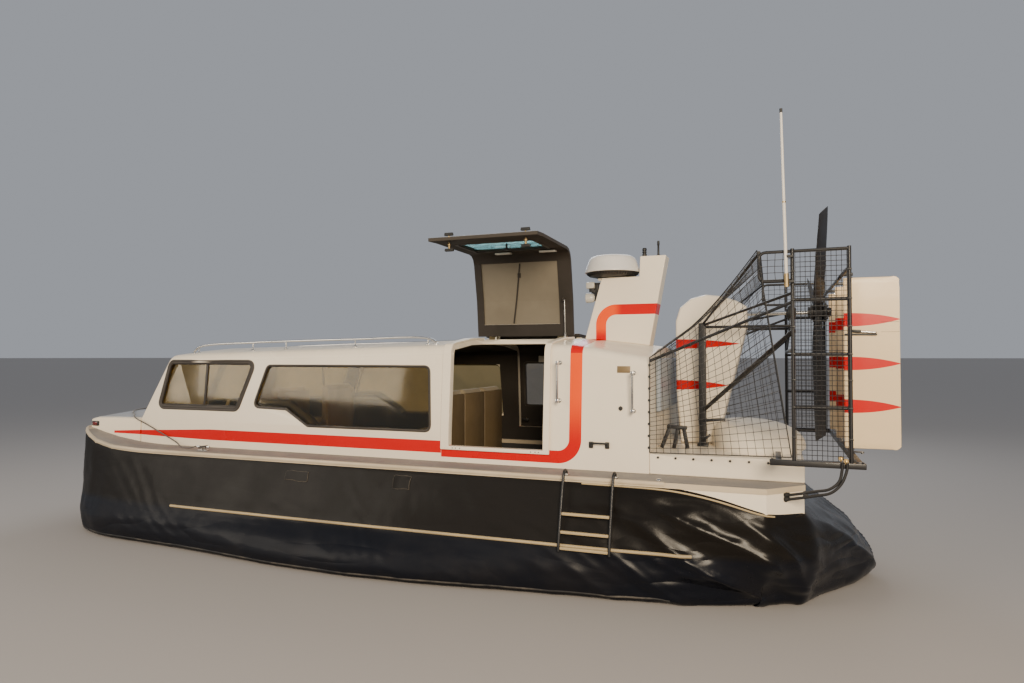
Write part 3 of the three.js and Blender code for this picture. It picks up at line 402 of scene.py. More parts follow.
def glass(name, color):
    clear, smeared = 0.03, 0.11
    graph = new_finish(name, "tinted_glass", clear)
    graph.paint(Transmission_Weight=1.0, IOR=1.45)
    smear = graph.group(GRAIN, Scale=5.0, Mottle_Scale=2.2)["Mottle"]
    darker = tuple(part * 0.86 for part in color)
    graph.paint(Base_Color=graph.mix(graph.ramp(smear, 0.35, 0.7), color, darker),
                Roughness=graph.ramp(smear, 0.3, 0.8, clear, smeared))


def skirt_fabric():
    """Black coated fabric: brown with dust up the side, blue-black below, glossy in the stern's folds."""
    graph = new_finish("skirt_black", "skirt_fabric", 0.34, coat=0.07)
    graph.paint(Coat_Roughness=0.16, Specular_IOR_Level=0.17)
    axes = graph.axes()
    place = graph.place()
    upper = graph.ramp(axes["Z"], 0.34, 0.42)
    astern = graph.ramp(axes["X"], TRANSOM_X + 2.2, TRANSOM_X + 0.6)
    tone = graph.mix(upper, (0.0040, 0.0050, 0.0090), (0.0075, 0.0062, 0.0050))
    film = graph.group(DUST, Top=0.62, Amount=0.05, Scale=2.6)["Mask"]
    drag = graph.stretched(place, (1.0, 1.0, 7.0))
    scuff = graph.ramp(graph.noise(drag, 4.5, 8.0, 0.72), 0.64, 0.76, 0.0, 0.12)
    uneven = graph.ramp(graph.noise(place, 1.8, 6.0, 0.65), 0.35, 0.7, 0.0, 0.14)
    graph.paint(Base_Color=graph.mix(graph.most(film, scuff), tone, (0.10, 0.080, 0.058)),
                Roughness=graph.plus(graph.ramp(astern, 0.0, 1.0, 0.46, 0.22), uneven))
    slant = graph.stretched(place, (0.6, 0.6, 3.0), (0.0, 0.55, 0.0))
    crease = graph.maths("ABSOLUTE", graph.minus(graph.noise(slant, 1.9, 1.0, 0.45), 0.5))
    crease = graph.maths("MINIMUM", graph.times(crease, 5.0), 1.0)
    share = graph.most(astern, graph.ramp(axes["Z"], 0.42, 0.30, 0.12, 0.5))
    weave = graph.times(graph.noise(place, 22.0, 5.0, 0.6), 0.06)
    graph.relief(graph.plus(graph.times(crease, share), weave), 0.022, 0.8)


gelcoat("hull_white", stripe=hull_stripe)
gelcoat("plain_white")
gelcoat("pylon_white", stripe=pylon_stripe)
gelcoat("tower_white", stripe=leaf_bands(((1.915, 0.043, 1.05, 0.47), (1.553, 0.043, 1.05, 0.57))))
gelcoat("rudder_cream", "rudder_paint",
        leaf_bands([(up, 0.050, -0.30, -0.665) for up in (2.077, 1.752, 1.435)]),
        (0.82, 0.64, 0.40), (0.77, 0.59, 0.37))
gelcoat("radome_white", "dome_white", base=(0.78, 0.76, 0.72), shade=(0.72, 0.70, 0.66))
plain("lip_cream", "white_gelcoat", (0.62, 0.52, 0.37), (0.52, 0.43, 0.30), 0.45, grain=120.0, amount=0.4)
plain("deck_grey", "deck_grip", (0.235, 0.215, 0.20), (0.30, 0.275, 0.25), 0.8, grain=420.0, relief=0.0015,
      amount=0.7)
plain("bow_grey", "deck_grip", (0.34, 0.36, 0.39), (0.42, 0.43, 0.45), 0.6, grain=300.0, relief=0.001)
plain("lining_brown", "lining", (0.022, 0.016, 0.011), (0.016, 0.012, 0.008), 0.75, grain=200.0, amount=0.1)
plain("panel_brown", "lining", (0.17, 0.120, 0.062), (0.13, 0.092, 0.048), 0.6, grain=160.0, amount=0.1)
plain("lining_beige", "lining", (0.22, 0.170, 0.105), (0.18, 0.140, 0.085), 0.7, grain=160.0, amount=0.1)
# The blind's beige is darkened with painted shade, as if the panel stood in shade.
plain("blind_beige_painted_shade", "lining", (0.18, 0.155, 0.112), (0.15, 0.13, 0.095), 0.8, grain=260.0, amount=0.1)
plain("rubber_dark", "dark_trim", (0.028, 0.022, 0.016), (0.045, 0.036, 0.026), 0.55, grain=180.0)
plain("trim_black", "dark_trim", (0.009, 0.009, 0.010), (0.018, 0.018, 0.018), 0.5, grain=200.0, amount=0.2)
plain("carpet_dark", "dark_trim", (0.035, 0.034, 0.033), (0.055, 0.052, 0.05), 0.95, grain=500.0,
      relief=0.003)
plain("tube_black", "black_tube", (0.006, 0.006, 0.008), (0.012, 0.012, 0.013), 0.5, coat=0.1, grain=90.0,
      amount=0.2)
plain("blade_black", "propeller_black", (0.008, 0.008, 0.011), (0.018, 0.017, 0.019), 0.5, grain=120.0,
      amount=0.2)
plain("engine_grey", "engine_parts", (0.10, 0.105, 0.11), (0.16, 0.165, 0.17), 0.5, metallic=0.4)
plain("shield_blue", "engine_parts", (0.30, 0.34, 0.39), (0.37, 0.41, 0.45), 0.45, grain=40.0, amount=0.3)
plain("steel_bright", "bright_metal", (0.62, 0.61, 0.59), (0.52, 0.51, 0.49), 0.25, metallic=1.0, grain=150.0,
      relief=0.0002, amount=0.1)
plain("brass_worn", "bright_metal", (0.50, 0.36, 0.16), (0.36, 0.27, 0.14), 0.38, metallic=0.9, grain=140.0)
plain("plate_brown", "bright_metal", (0.27, 0.19, 0.09), (0.20, 0.14, 0.07), 0.45, metallic=0.3)
plain("antenna_cream", "antenna_white", (0.77, 0.73, 0.66), (0.70, 0.66, 0.60), 0.4, amount=0.1)
plain("hose_black", "hose_rubber", (0.007, 0.007, 0.008), (0.014, 0.013, 0.013), 0.6, grain=160.0, amount=0.2)
plain("batten_tan", "skirt_fabric", (0.50, 0.39, 0.22), (0.36, 0.28, 0.16), 0.6, grain=90.0, top=0.7)
plain("patch_worn", "skirt_fabric", (0.10, 0.085, 0.065), (0.20, 0.165, 0.12), 0.6, grain=200.0, top=1.0,
      mottle=30.0, amount=0.15)
plain("lamp_pale", "bright_metal", (0.60, 0.58, 0.52), (0.50, 0.48, 0.43), 0.3, amount=0.0)
plain("lamp_red", "tinted_glass", (0.16, 0.02, 0.02), (0.11, 0.015, 0.015), 0.2, coat=0.5)
plain("lamp_green", "tinted_glass", (0.02, 0.12, 0.06), (0.015, 0.09, 0.045), 0.2, coat=0.5)
plain("screen_dark", "dark_trim", (0.01, 0.013, 0.016), (0.015, 0.018, 0.02), 0.12, coat=0.5)
woven("seat_cloth", "seat_cover", (0.27, 0.22, 0.14), (0.21, 0.17, 0.11), 900.0)
woven("net_black", "net_cord", (0.010, 0.010, 0.011), (0.020, 0.019, 0.018), 1400.0)
woven("rope_dark", "rope", (0.050, 0.045, 0.042), (0.10, 0.09, 0.08), 700.0, relief=0.002)
glass("glass_tan", (0.86, 0.68, 0.34))
glass("glass_teal", (0.20, 0.42, 0.42))
glass("glass_grey", (0.62, 0.58, 0.50))
skirt_fabric()


# Shaping

WELD = 0.0001
CORNER_STEPS = 8


def finish_piece(name, shape, finishes, body="root", stands_for=(), sharp=32.0, weld=True):
    """Turns a bmesh into a piece that rides on a body, smooth up to the sharp angle."""
    if weld:
        bmesh.ops.remove_doubles(shape, verts=shape.verts, dist=WELD)
        bmesh.ops.recalc_face_normals(shape, faces=shape.faces)
    mesh = bpy.data.meshes.new(name)
    shape.to_mesh(mesh)
    shape.free()
    mesh.shade_smooth()
    mesh.set_sharp_from_angle(angle=math.radians(sharp))
    return dress(add_object(name, mesh), finishes, body, stands_for)


def dress(piece, finishes, body, stands_for):
    names = (finishes,) if isinstance(finishes, str) else finishes
    for finish in names:
        piece.data.materials.append(MATERIALS[finish])
    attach(piece, body)
    if stands_for:
        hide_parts(stands_for)
    return piece


def tubes(name, runs, finish, stands_for=(), roundness=3):
    """Round bars and tubes: each run is a radius, or one for each point, and the points it passes."""
    curve = bpy.data.curves.new(name, "CURVE")
    curve.dimensions = "3D"
    curve.bevel_depth = 1.0
    curve.bevel_resolution = roundness
    curve.use_fill_caps = True
    for radius, points in runs:
        radii = radius if isinstance(radius, tuple) else (radius,) * len(points)
        spline = curve.splines.new("POLY")
        spline.points.add(len(points) - 1)
        for corner, place, thick in zip(spline.points, points, radii):
            corner.co = (*place, 1)
            corner.radius = thick
        spline.use_smooth = True
    return dress(add_object(name, curve), finish, "root", stands_for)


def bend_through(points, per_span=6):
    """A smooth route through the points, as a centripetal Catmull-Rom curve."""
    chain = [points[0] * 2 - points[1], *points, points[-1] * 2 - points[-2]]
    route = [points[0].copy()]
    for p0, p1, p2, p3 in zip(chain, chain[1:], chain[2:], chain[3:]):
        t1 = (p1 - p0).length ** 0.5
        t2 = t1 + (p2 - p1).length ** 0.5
        t3 = t2 + (p3 - p2).length ** 0.5
        for step in range(1, per_span + 1):
            t = t1 + (t2 - t1) * step / per_span
            a1 = p0.lerp(p1, t / t1)
            a2 = p1.lerp(p2, (t - t1) / (t2 - t1))
            a3 = p2.lerp(p3, (t - t2) / (t3 - t2))
            b1 = a1.lerp(a2, t / t2)
            b2 = a2.lerp(a3, (t - t1) / (t3 - t1))
            route.append(b1.lerp(b2, (t - t1) / (t2 - t1)))
    return route


def corner_curve(before, corner, after, reach):
    """Points that turn from one straight line to the next, starting the reach's length from the corner."""
    back, ahead = ((end - corner).normalized() * reach for end in (before, after))
    shares = [step / CORNER_STEPS for step in range(CORNER_STEPS + 1)]
    return [corner + back * (1 - share) ** 2 + ahead * share ** 2 for share in shares]


def skin(u_steps, v_steps, place):
    """A grid whose corners go to place(u, v), with u and v counted in steps."""
    shape = bmesh.new()
    bmesh.ops.create_grid(shape, x_segments=u_steps, y_segments=v_steps, size=0.5)
    for corner in shape.verts:
        corner.co = place(round((corner.co.x + 0.5) * u_steps), round((corner.co.y + 0.5) * v_steps))
    return shape


def closed_skin(u_steps, v_steps, place):
    """A skin that meets itself, with its open ends filled."""
    shape = skin(u_steps, v_steps, place)
    bmesh.ops.remove_doubles(shape, verts=shape.verts, dist=WELD)
    bmesh.ops.holes_fill(shape, edges=shape.edges, sides=0)
    return shape


def soften(shape, edges, width, segments=2, clamp=False):
    return bmesh.ops.bevel(shape, geom=edges, offset=width, affect="EDGES", segments=segments, profile=0.5,
                           material=-1, clamp_overlap=clamp)["verts"]


def edges_of(corners):
    return list({edge for corner in corners for edge in corner.link_edges})


def add_block(shape, one, other, ease=0.004, turn=None):
    """A box between two opposite corners, with eased edges."""
    pairs = [sorted(pair) for pair in zip(one, other)]
    low, high = (Vector(corner) for corner in zip(*pairs))
    size = high - low
    made = bmesh.ops.create_cube(shape, size=1.0)["verts"]
    bmesh.ops.scale(shape, vec=size, verts=made)
    if turn:
        bmesh.ops.rotate(shape, verts=made, cent=(0, 0, 0), matrix=turn)
    bmesh.ops.translate(shape, vec=(low + high) / 2, verts=made)
    soften(shape, edges_of(made), min(ease, min(size) * 0.45))


def along_bar(start, end):
    """Carries a bar made upright about the origin to run from start to end."""
    return Matrix.Translation((start + end) / 2) @ (end - start).to_track_quat("Z", "Y").to_matrix().to_4x4()


def add_beam(shape, start, end, wide, deep, ease=0.002):
    """A straight bar of rectangular section, wide across the level and deep the other way."""
    made = bmesh.ops.create_cube(shape, size=1.0)["verts"]
    bmesh.ops.scale(shape, vec=(wide, deep, (end - start).length), verts=made)
    if ease:
        made = soften(shape, edges_of(made), ease)
    bmesh.ops.transform(shape, matrix=along_bar(start, end), verts=made)


def add_rod(shape, start, end, radius, sides=16, tip=None):
    bmesh.ops.create_cone(
        shape, cap_ends=True, segments=sides, radius1=radius, radius2=radius if tip is None else tip,
        depth=(end - start).length, matrix=along_bar(start, end))


def add_stud(shape, foot, along, radius, sides=6):
    add_rod(shape, foot, foot + along, radius, sides)


def add_turned(shape, profile, centre, axis="Z", steps=32):
    """Spins a profile of radius and height pairs about an axis through centre."""
    corners = [shape.verts.new((radius, 0, height)) for radius, height in profile]
    edges = [shape.edges.new(pair) for pair in zip(corners, corners[1:])]
    before = set(shape.verts) - set(corners)
    bmesh.ops.spin(shape, geom=corners + edges, cent=(0, 0, 0), axis=UP, dvec=(0, 0, 0),
                   angle=math.tau, steps=steps, use_merge=True)
    made = [corner for corner in shape.verts if corner not in before]
    if axis != "Z":
        turn = turn_of(90, "Y") if axis == "X" else turn_of(-90, "X")
        bmesh.ops.rotate(shape, verts=made, cent=(0, 0, 0), matrix=turn)
    bmesh.ops.translate(shape, vec=centre, verts=made)
    bmesh.ops.remove_doubles(shape, verts=made, dist=0.0002)


def mirrored(shape):
    bmesh.ops.scale(shape, vec=(1, -1, 1), verts=shape.verts)
    bmesh.ops.recalc_face_normals(shape, faces=shape.faces)
    return shape


def add_copies(shape, other, moves):
    """Adds the other shape at each of the moves."""
    part = bpy.data.meshes.new("part")
    other.to_mesh(part)
    for move in moves:
        first = len(shape.verts)
        shape.from_mesh(part)
        shape.verts.ensure_lookup_table()
        bmesh.ops.transform(shape, matrix=move, verts=shape.verts[first:])
    bpy.data.meshes.remove(part)


def eased(node, finishes, width=0.004, angle=30.0, pick=None, body="root", sharp=38.0, segments=2,
          where=None):
    """A welded copy of a CAD node with rounded edges, which stands for it."""
    shape = bmesh.new()
    shape.from_mesh(NODES[node].data)
    bmesh.ops.remove_doubles(shape, verts=shape.verts, dist=0.0002)
    bmesh.ops.dissolve_limit(shape, angle_limit=math.radians(1.0), verts=shape.verts, edges=shape.edges)
    bmesh.ops.dissolve_degenerate(shape, dist=0.002, edges=shape.edges)
    if pick:
        for face in shape.faces:
            face.material_index = pick(face.calc_center_median(), face.normal)
    if width:
        least = math.radians(angle)
        edges = [edge for edge in shape.edges
                 if edge.is_manifold and edge.calc_face_angle() > least and edge.calc_length() > width
                 and (not where or all(where(end.co) for end in edge.verts))]
        soften(shape, edges, width, segments, clamp=True)
    bmesh.ops.triangulate(shape, faces=[face for face in shape.faces if len(face.verts) > 4])
    piece = finish_piece(f"{node}_finished", shape, finishes, body, node, sharp, weld=False)
    piece.modifiers.new("even_shading", "WEIGHTED_NORMAL").keep_sharp = True
    return piece


# Mooring rope

SIDE_CLEAT = (5.48, 1.11, 0.876)
BOW_CLEAT = (7.16, 0.0, 1.189)
CLEAT_HALF = 0.080
CLEAT_HORN_RISE = 0.038
ROPE_RADIUS = 0.006


def lay_rope():
    """The free stretch, from the side deck's cleat over the foredeck to the bow cleat."""
    start = SIDE_CLEAT[0] + CLEAT_HALF + 0.001
    horn_z = BOW_CLEAT[2] + CLEAT_HORN_RISE
    points = [at(*place) for place in (
        (start, 1.110, 0.914), (start + 0.012, 1.110, 0.914), (5.640, 1.104, 0.896), (5.740, 1.080, 0.887),
        (5.880, 1.012, 0.889), (6.010, 0.946, 0.918), (6.260, 0.932, 1.012), (6.470, 0.918, 1.090),
        (6.590, 0.912, 1.130), (6.640, 0.905, 1.151), (6.690, 0.872, 1.165), (6.780, 0.790, 1.168),
        (6.900, 0.700, 1.174), (7.030, 0.594, 1.181), (7.115, 0.480, 1.188), (7.158, 0.350, 1.192),
        (7.168, 0.230, 1.196), (7.163, 0.150, 1.207), (BOW_CLEAT[0], CLEAT_HALF + 0.014, horn_z),
        (BOW_CLEAT[0], CLEAT_HALF + 0.002, horn_z))]
    route = bend_through(points)
    rope = tubes("mooring_line", [(ROPE_RADIUS, route)], "rope_dark", stands_for="mooring_rope", roundness=2)
    length = sum((b - a).length for a, b in zip(route, route[1:]))
    tuple(route[0])


def coil_hitch():
    """Turns of the mooring line round the side cleat."""
    forward, left, deck = SIDE_CLEAT
    horn = deck + CLEAT_HORN_RISE
    steps, turns = 64, 3
    route = []
    for step in range(steps):
        share = step / (steps - 1)
        angle = share * math.tau * turns
        ahead, beside = math.cos(angle), math.sin(angle) * math.cos(angle * 0.5)
        route.append(at(forward + 0.052 * ahead, left + 0.024 * beside,
                        horn - 0.018 + 0.020 * math.sin(angle * 0.5) + 0.010 * share))
    tubes("rope_turns", [(ROPE_RADIUS, route)], "rope_dark", roundness=2)


lay_rope()
coil_hitch()


# Rim of the deck: forward, out, lip height, skirt's drop below it, belly and foot

LIP, DROP = 0.876, 0.045
RIM_ROWS = (
    (7.325, 0.000, 1.058, DROP, 0.030, -0.080),
    (7.321, 0.450, 1.056, DROP, 0.030, -0.080),
    (7.305, 0.820, 1.050, DROP, 0.025, -0.060),
    (7.250, 0.985, 1.040, DROP, 0.020, -0.030),
    (7.150, 1.075, 1.018, DROP, 0.025, 0.020),
    (7.040, 1.130, 0.985, DROP, 0.035, 0.060),
    (6.850, 1.200, 0.938, DROP, 0.060, 0.110),
    (6.560, 1.243, 0.894, DROP, 0.100, 0.165),
    (6.200, 1.250, 0.878, DROP, 0.130, 0.190),
    (5.600, 1.250, LIP, DROP, 0.150, 0.215),
    (4.900, 1.250, LIP, DROP, 0.160, 0.290),
    (4.200, 1.250, LIP, DROP, 0.165, 0.350),
    (3.500, 1.250, LIP, DROP, 0.165, 0.370),
    (2.800, 1.250, LIP, DROP, 0.160, 0.320),
    (2.100, 1.250, LIP, DROP, 0.150, 0.215),
    (1.500, 1.250, LIP, DROP, 0.145, 0.140),
    (0.900, 1.250, LIP, 0.050, 0.120, 0.065),
    (0.560, 1.250, LIP, 0.110, 0.070, -0.030),
    (0.260, 1.250, LIP, 0.200, 0.020, -0.170),
    (0.000, 0.980, LIP, 0.215, 0.060, -0.040),
    (-0.005, 0.600, LIP, 0.215, 0.240, 0.200),
    (-0.009, 0.250, LIP, 0.215, 0.370, 0.450),
    (-0.010, 0.000, LIP, 0.215, 0.400, 0.540),
)
RIM_SPACING = 0.022


def rim_stations(passes):
    """Even steps round the whole rim, each with its outward direction and its row's heights."""
    loop = [list(row) for row in RIM_ROWS]
    loop += [[row[0], -row[1], *row[2:]] for row in reversed(RIM_ROWS[1:-1])]
    steps = []
    for _, row, after in in_threes(loop):
        gap = math.hypot(after[0] - row[0], after[1] - row[1])
        count = max(round(gap / RIM_SPACING), 1)
        steps += [[a + (b - a) * i / count for a, b in zip(row, after)] for i in range(count)]
    for turn in range(passes):
        first = 0 if turn < 3 else 2
        steps = [
            row[:first] + [(a + 2 * b + c) / 4 for a, b, c in zip(before[first:], row[first:], after[first:])]
            for before, row, after in in_threes(steps)]
    stations = []
    for before, row, after in in_threes(steps):
        out = Vector((after[1] - before[1], before[0] - after[0], 0)).normalized()
        stations.append((at(row[0], row[1], 0), out, row[2:]))
    return stations


RIM = rim_stations(3)
SOFT_RIM = rim_stations(60)
EDGE_STRIP = ((-0.020, 0.003), (0.000, 0.004), (0.006, 0.001), (0.009, -0.006), (0.009, -0.018),
              (0.006, -0.025), (0.000, -0.028), (-0.012, -0.028), (-0.020, -0.018))
EDGE_STRIP_AFT = 0.95


def make_edge_strip():
    """A strip of one closed section round the bow: pairs out from the rim and up from the lip."""
    ahead = [forward_of(spot) > EDGE_STRIP_AFT for spot, *_ in RIM]
    first = next(index for index in range(len(RIM)) if ahead[index] and not ahead[index - 1])
    kept = [RIM[(first + step) % len(RIM)] for step in range(sum(ahead))]

    def place(u, v):
        spot, out, (lip, *_) = kept[u]
        reach, rise = EDGE_STRIP[v % len(EDGE_STRIP)]
        return spot + out * reach + UP * (lip + rise)

    finish_piece("deck_edge_strip", closed_skin(len(kept) - 1, len(EDGE_STRIP), place), "lip_cream")


make_edge_strip()


# Skirt

PER_SPAN = 6
BATTEN_INDEX = 4 * PER_SPAN
HEM_INDEX = 8 * PER_SPAN
# Folds are made in this share of a ring, from its top down the outside and under the foot
OUTER_SHARE = 0.72


def fold_depth(spot, run, slack):
    """How far the fabric stands out at a spot, from held flat at 0 to a loose heap at 1.

    The run is the way round the rim from the bow. Long folds lean down and aft, with sharp crests.
    """
    swell = noise.noise(Vector((spot.x * 0.8, spot.y * 0.8, spot.z * 2.0)))
    sway = 0.20 * noise.noise(spot * 1.3 + Vector((5.0, 0, 0)))
    across, along = spot.z + 0.62 * run + sway, run - 0.62 * spot.z
    fold = 1.0 - 2.3 * abs(noise.noise(Vector((across * 2.6, along * 0.55, 1.7))))
    pleat = 1.0 - 2.3 * abs(noise.noise(Vector((across * 6.5, along * 1.1, 7.7))))
    crumple = noise.noise(spot * 11.0)
    calm = 0.007 * swell + 0.003 * pleat + 0.0015 * crumple
    heap = 0.062 * fold * abs(fold) + 0.017 * pleat + 0.003 * crumple + 0.02 * swell
    return calm * (1 - slack) + heap * slack


def skirt_section(lip, drop, belly, foot):
    """Corners of the bag's section, out from the rim and up from the ground."""
    top = lip - drop
    return [
        (-0.035, top), (0.004, top), (belly * 0.35, top - (top - 0.38) * 0.3),
        (belly * 0.70, top - (top - 0.38) * 0.65), (belly, 0.385), (belly * 0.75 + foot * 0.25 + 0.012, 0.31),
        (belly * 0.35 + foot * 0.65 + 0.02, 0.225), (foot + 0.004, 0.12), (foot - 0.02, 0.035),
        (foot - 0.08, 0.001), (foot - 0.22, 0.001), (foot - 0.33, 0.004), (-0.165, 0.29), (-0.10, 0.5),
    ]


def skirt_ring(station, run):
    spot, out, values = station
    flat = [Vector((reach, 0, rise)) for reach, rise in skirt_section(*values)]
    closed = flat[-1:] + flat + flat[:2]
    ring = []
    for p0, p1, p2, p3 in zip(closed, closed[1:], closed[2:], closed[3:]):
        for step in range(PER_SPAN):
            t = step / PER_SPAN
            ring.append(0.5 * ((2 * p1) + (p2 - p0) * t + (2 * p0 - 5 * p1 + 4 * p2 - p3) * t * t
                               + (3 * p1 - p0 - 3 * p2 + p3) * t ** 3))
    top = values[0] - values[1]
    astern = unit((2.3 - forward_of(spot)) / 2.6)
    outer = len(ring) * OUTER_SHARE
    placed = []
    for index, (before, corner, after) in enumerate(in_threes(ring)):
        along = after - before
        normal = Vector((-along.z, 0, along.x)).normalized()
        place = spot + out * corner.x + UP * corner.z
        held = unit((top - corner.z) / 0.16) if index < outer else 0.0
        low = unit((0.36 - corner.z) / 0.3)
        grounded = 0.3 + 0.7 * unit(corner.z / 0.2)
        depth = fold_depth(place, run, min(astern * 0.95 + low * 0.16, 1.0)) * held * grounded
        place += (out * normal.x + UP * normal.z) * depth
        place.z = max(place.z, 0.001)
        placed.append(place)
    return placed


SKIRT_RINGS = [skirt_ring(station, min(index, len(SOFT_RIM) - index) * RIM_SPACING)
               for index, station in enumerate(SOFT_RIM)]


def make_skirt():
    count, ring = len(SKIRT_RINGS), len(SKIRT_RINGS[0])
    shape = skin(count, ring, lambda u, v: SKIRT_RINGS[u % count][v % ring])
    skirt = finish_piece("skirt_bag", shape, "skirt_black", stands_for="skirt", sharp=180.0)


def skirt_lines(index, aft, fore, proud, lift, radius):
    """Runs for a tube on each side of the skirt, along one line of its section."""
    lines = []
    for _, side in SIDES:
        line = [ring[index] + out * proud + UP * lift for (spot, out, _), ring in zip(SOFT_RIM, SKIRT_RINGS)
                if aft < forward_of(spot) < fore and spot.y * side > 0]
        lines.append((radius, line[::3]))
    return lines


def make_patches():
    """Glued repairs: where each starts, its length, its first row and its rows down the side."""
    edges = []
    for name, forward, length, first, rows in (("front", 4.09, 0.26, 9, 3), ("middle", 3.05, 0.18, 8, 4)):
        under = [index for index, (spot, *_) in enumerate(SOFT_RIM)
                 if forward < forward_of(spot) < forward + length and spot.y > 0]
        last = len(under) - 1

        def place(u, v):
            spot = SKIRT_RINGS[under[u]][first + v]
            ragged = 0.012 * noise.noise(spot * 18.0) if v in (0, rows) or u in (0, last) else 0
            return spot + SOFT_RIM[under[u]][1] * 0.0035 + Vector((ragged, 0, ragged))

        shape = skin(last, rows, place)
        bmesh.ops.recalc_face_normals(shape, faces=shape.faces)
        bmesh.ops.solidify(shape, geom=shape.faces, thickness=0.0025)
        finish_piece(f"skirt_patch_{name}", shape, "skirt_black")
        around = [(u, 0) for u in range(last)] + [(last, v) for v in range(rows)]
        around += [(u, rows) for u in range(last, 0, -1)] + [(0, v) for v in range(rows, -1, -1)]
        edges.append((0.0022, [place(*step) for step in around]))
    tubes("skirt_patch_edges", edges, "patch_worn", roundness=1)


make_skirt()
tubes("skirt_battens", skirt_lines(BATTEN_INDEX, 0.72, 5.59, 0.003, 0, 0.013)
      + skirt_lines(PER_SPAN, 0.20, 1.60, 0.001, 0, 0.007), "batten_tan", roundness=2)
tubes("skirt_hems", skirt_lines(HEM_INDEX, 0.9, 7.0, 0.004, 0.010, 0.009), "hose_black", roundness=2)
make_patches()


# Cabin shell: rows from aft to fore, at the belt and at the roof's edge

BELT_Z = 1.140
CABIN_ROWS = (
    (1.950, 1.950, 0.920, 0.860, 1.915),
    (3.000, 3.000, 0.920, 0.860, 1.912),
    (4.500, 4.500, 0.920, 0.858, 1.882),
    (5.800, 5.800, 0.915, 0.850, 1.845),
    (6.400, 6.060, 0.905, 0.838, 1.830),
    (6.560, 6.200, 0.893, 0.828, 1.822),
)


def side_at(forward, up):
    """How far out the cabin's side stands."""
    spots = []
    for low, high, half_low, half_high, edge in CABIN_ROWS:
        lift = max((up - BELT_Z) / (edge - BELT_Z), 0.0)
        share = unit((up - BELT_Z) / (edge - 0.078 - BELT_Z))
        spots.append((low + (high - low) * lift, half_low - 0.006 + (half_high + 0.010 - half_low) * share))
    for (x0, y0), (x1, y1) in zip(spots, spots[1:]):
        if forward <= x1:
            break
    return y0 + (y1 - y0) * (forward - x0) / (x1 - x0)


def side_wall(side):
    return lambda spot, proud: at(spot.x, side * (side_at(*spot) + proud), spot.y)


def front_wall(spot, proud):
    """The raked front: the spot is given across and up."""
    return at(6.605 - 0.5415 * (spot.y - BELT_Z) + 0.88 * proud, spot.x, spot.y + 0.47 * proud)


SHELL = ("hull_white", "lining_beige", "lining_brown", "plain_white")
OUTSIDE, LIGHT_LINING, DARK_LINING, SILL, HINGE_LEAF = range(5)


def in_cabin(centre, normal):
    """Which finish of the shell a face of the cabin takes."""
    forward = forward_of(centre)
    if normal.z > 0.9 and centre.z < 1.03:
        return SILL
    inward = normal.y * (1 if centre.y > 0 else -1) < -0.35
    if inward or (normal.z < -0.5 and centre.z > 1.70) or (normal.x < -0.3 and forward > 6.0):
        return DARK_LINING if forward < 5.2 else LIGHT_LINING
    return OUTSIDE


def on_roof(centre, normal):
    hinge = 1.955 < centre.z and 0.028 < abs(centre.y) < 0.078 and 2.07 < forward_of(centre) < 2.86
    return HINGE_LEAF if hinge else in_cabin(centre, normal)


for name in ("cabin_side_port", "cabin_side_starboard", "cabin_front"):
    eased(name, SHELL, width=0, pick=in_cabin)
eased("cabin_roof", (*SHELL, "brass_worn"), width=0, pick=on_roof)
eased("rear_bulkhead", "lining_brown", width=0.003)
eased("engine_enclosure", "hull_white", width=0.022, angle=40, where=lambda spot: forward_of(spot) < 1.135,
      segments=4)
for side_name, _ in SIDES:
    eased(f"door_flange_{side_name}", "plain_white", width=0.005, segments=3)


# Glazing

FRONT_WINDOW = ((6.300, 1.285), (6.205, 1.735), (5.090, 1.735), (5.270, 1.285))
LONG_WINDOW = ((5.060, 1.300), (4.910, 1.716), (3.100, 1.716), (3.070, 1.136), (4.390, 1.136),
               (4.655, 1.290))
LONG_WINDOW_RADIUS = 0.060
SCREEN = ((0.035, 1.195), (0.740, 1.195), (0.740, 1.745), (0.035, 1.745))
WIDE_BEAD = ((-0.012, -0.015), (-0.012, 0.005), (-0.004, 0.010), (0.006, 0.011), (0.013, 0.007),
             (0.021, 0.010), (0.031, 0.009), (0.037, 0.003), (0.037, -0.004))
THIN_BEAD = ((-0.013, -0.015), (-0.013, 0.003), (-0.006, 0.007), (0.004, 0.007), (0.010, 0.002),
             (0.010, -0.004))
DIVIDER_AT = {"port": 5.695, "starboard": 5.510}
LEDGE = ((5.055, 0.826, 1.338), (4.86, 0.828, 1.345), (4.66, 0.832, 1.338), (4.53, 0.836, 1.262),
         (4.40, 0.842, 1.180), (4.34, 0.844, 1.130))
LEDGE_RADII = (0.038, 0.042, 0.044, 0.044, 0.044, 0.040)
WEB_DEPTH, WEB_GAP = 0.040, 0.0004


def rounded(corners, radius):
    """A closed outline with each corner turned on a curve."""
    line = []
    for before, corner, after in in_threes([Vector(corner) for corner in corners]):
        back, ahead = before - corner, after - corner
        reach = min(radius / math.tan(back.angle(ahead) / 2), back.length * 0.45, ahead.length * 0.45)
        line += corner_curve(before, corner, after, reach)
    return line


def bead_round(outline, lay, profile):
    """A bead round an outline. The profile gives pairs outwards from the line and proud of the wall."""
    count = len(outline)

    def place(u, v):
        along = (outline[(u + 1) % count] - outline[u - 1]).normalized()
        across, proud = profile[v % len(profile)]
        return lay(outline[u % count] + Vector((along.y, -along.x)) * across, proud)

    return skin(count, len(profile), place)


def seal(name, outline, lay, profile):
    finish_piece(name, bead_round(outline, lay, profile), "rubber_dark")


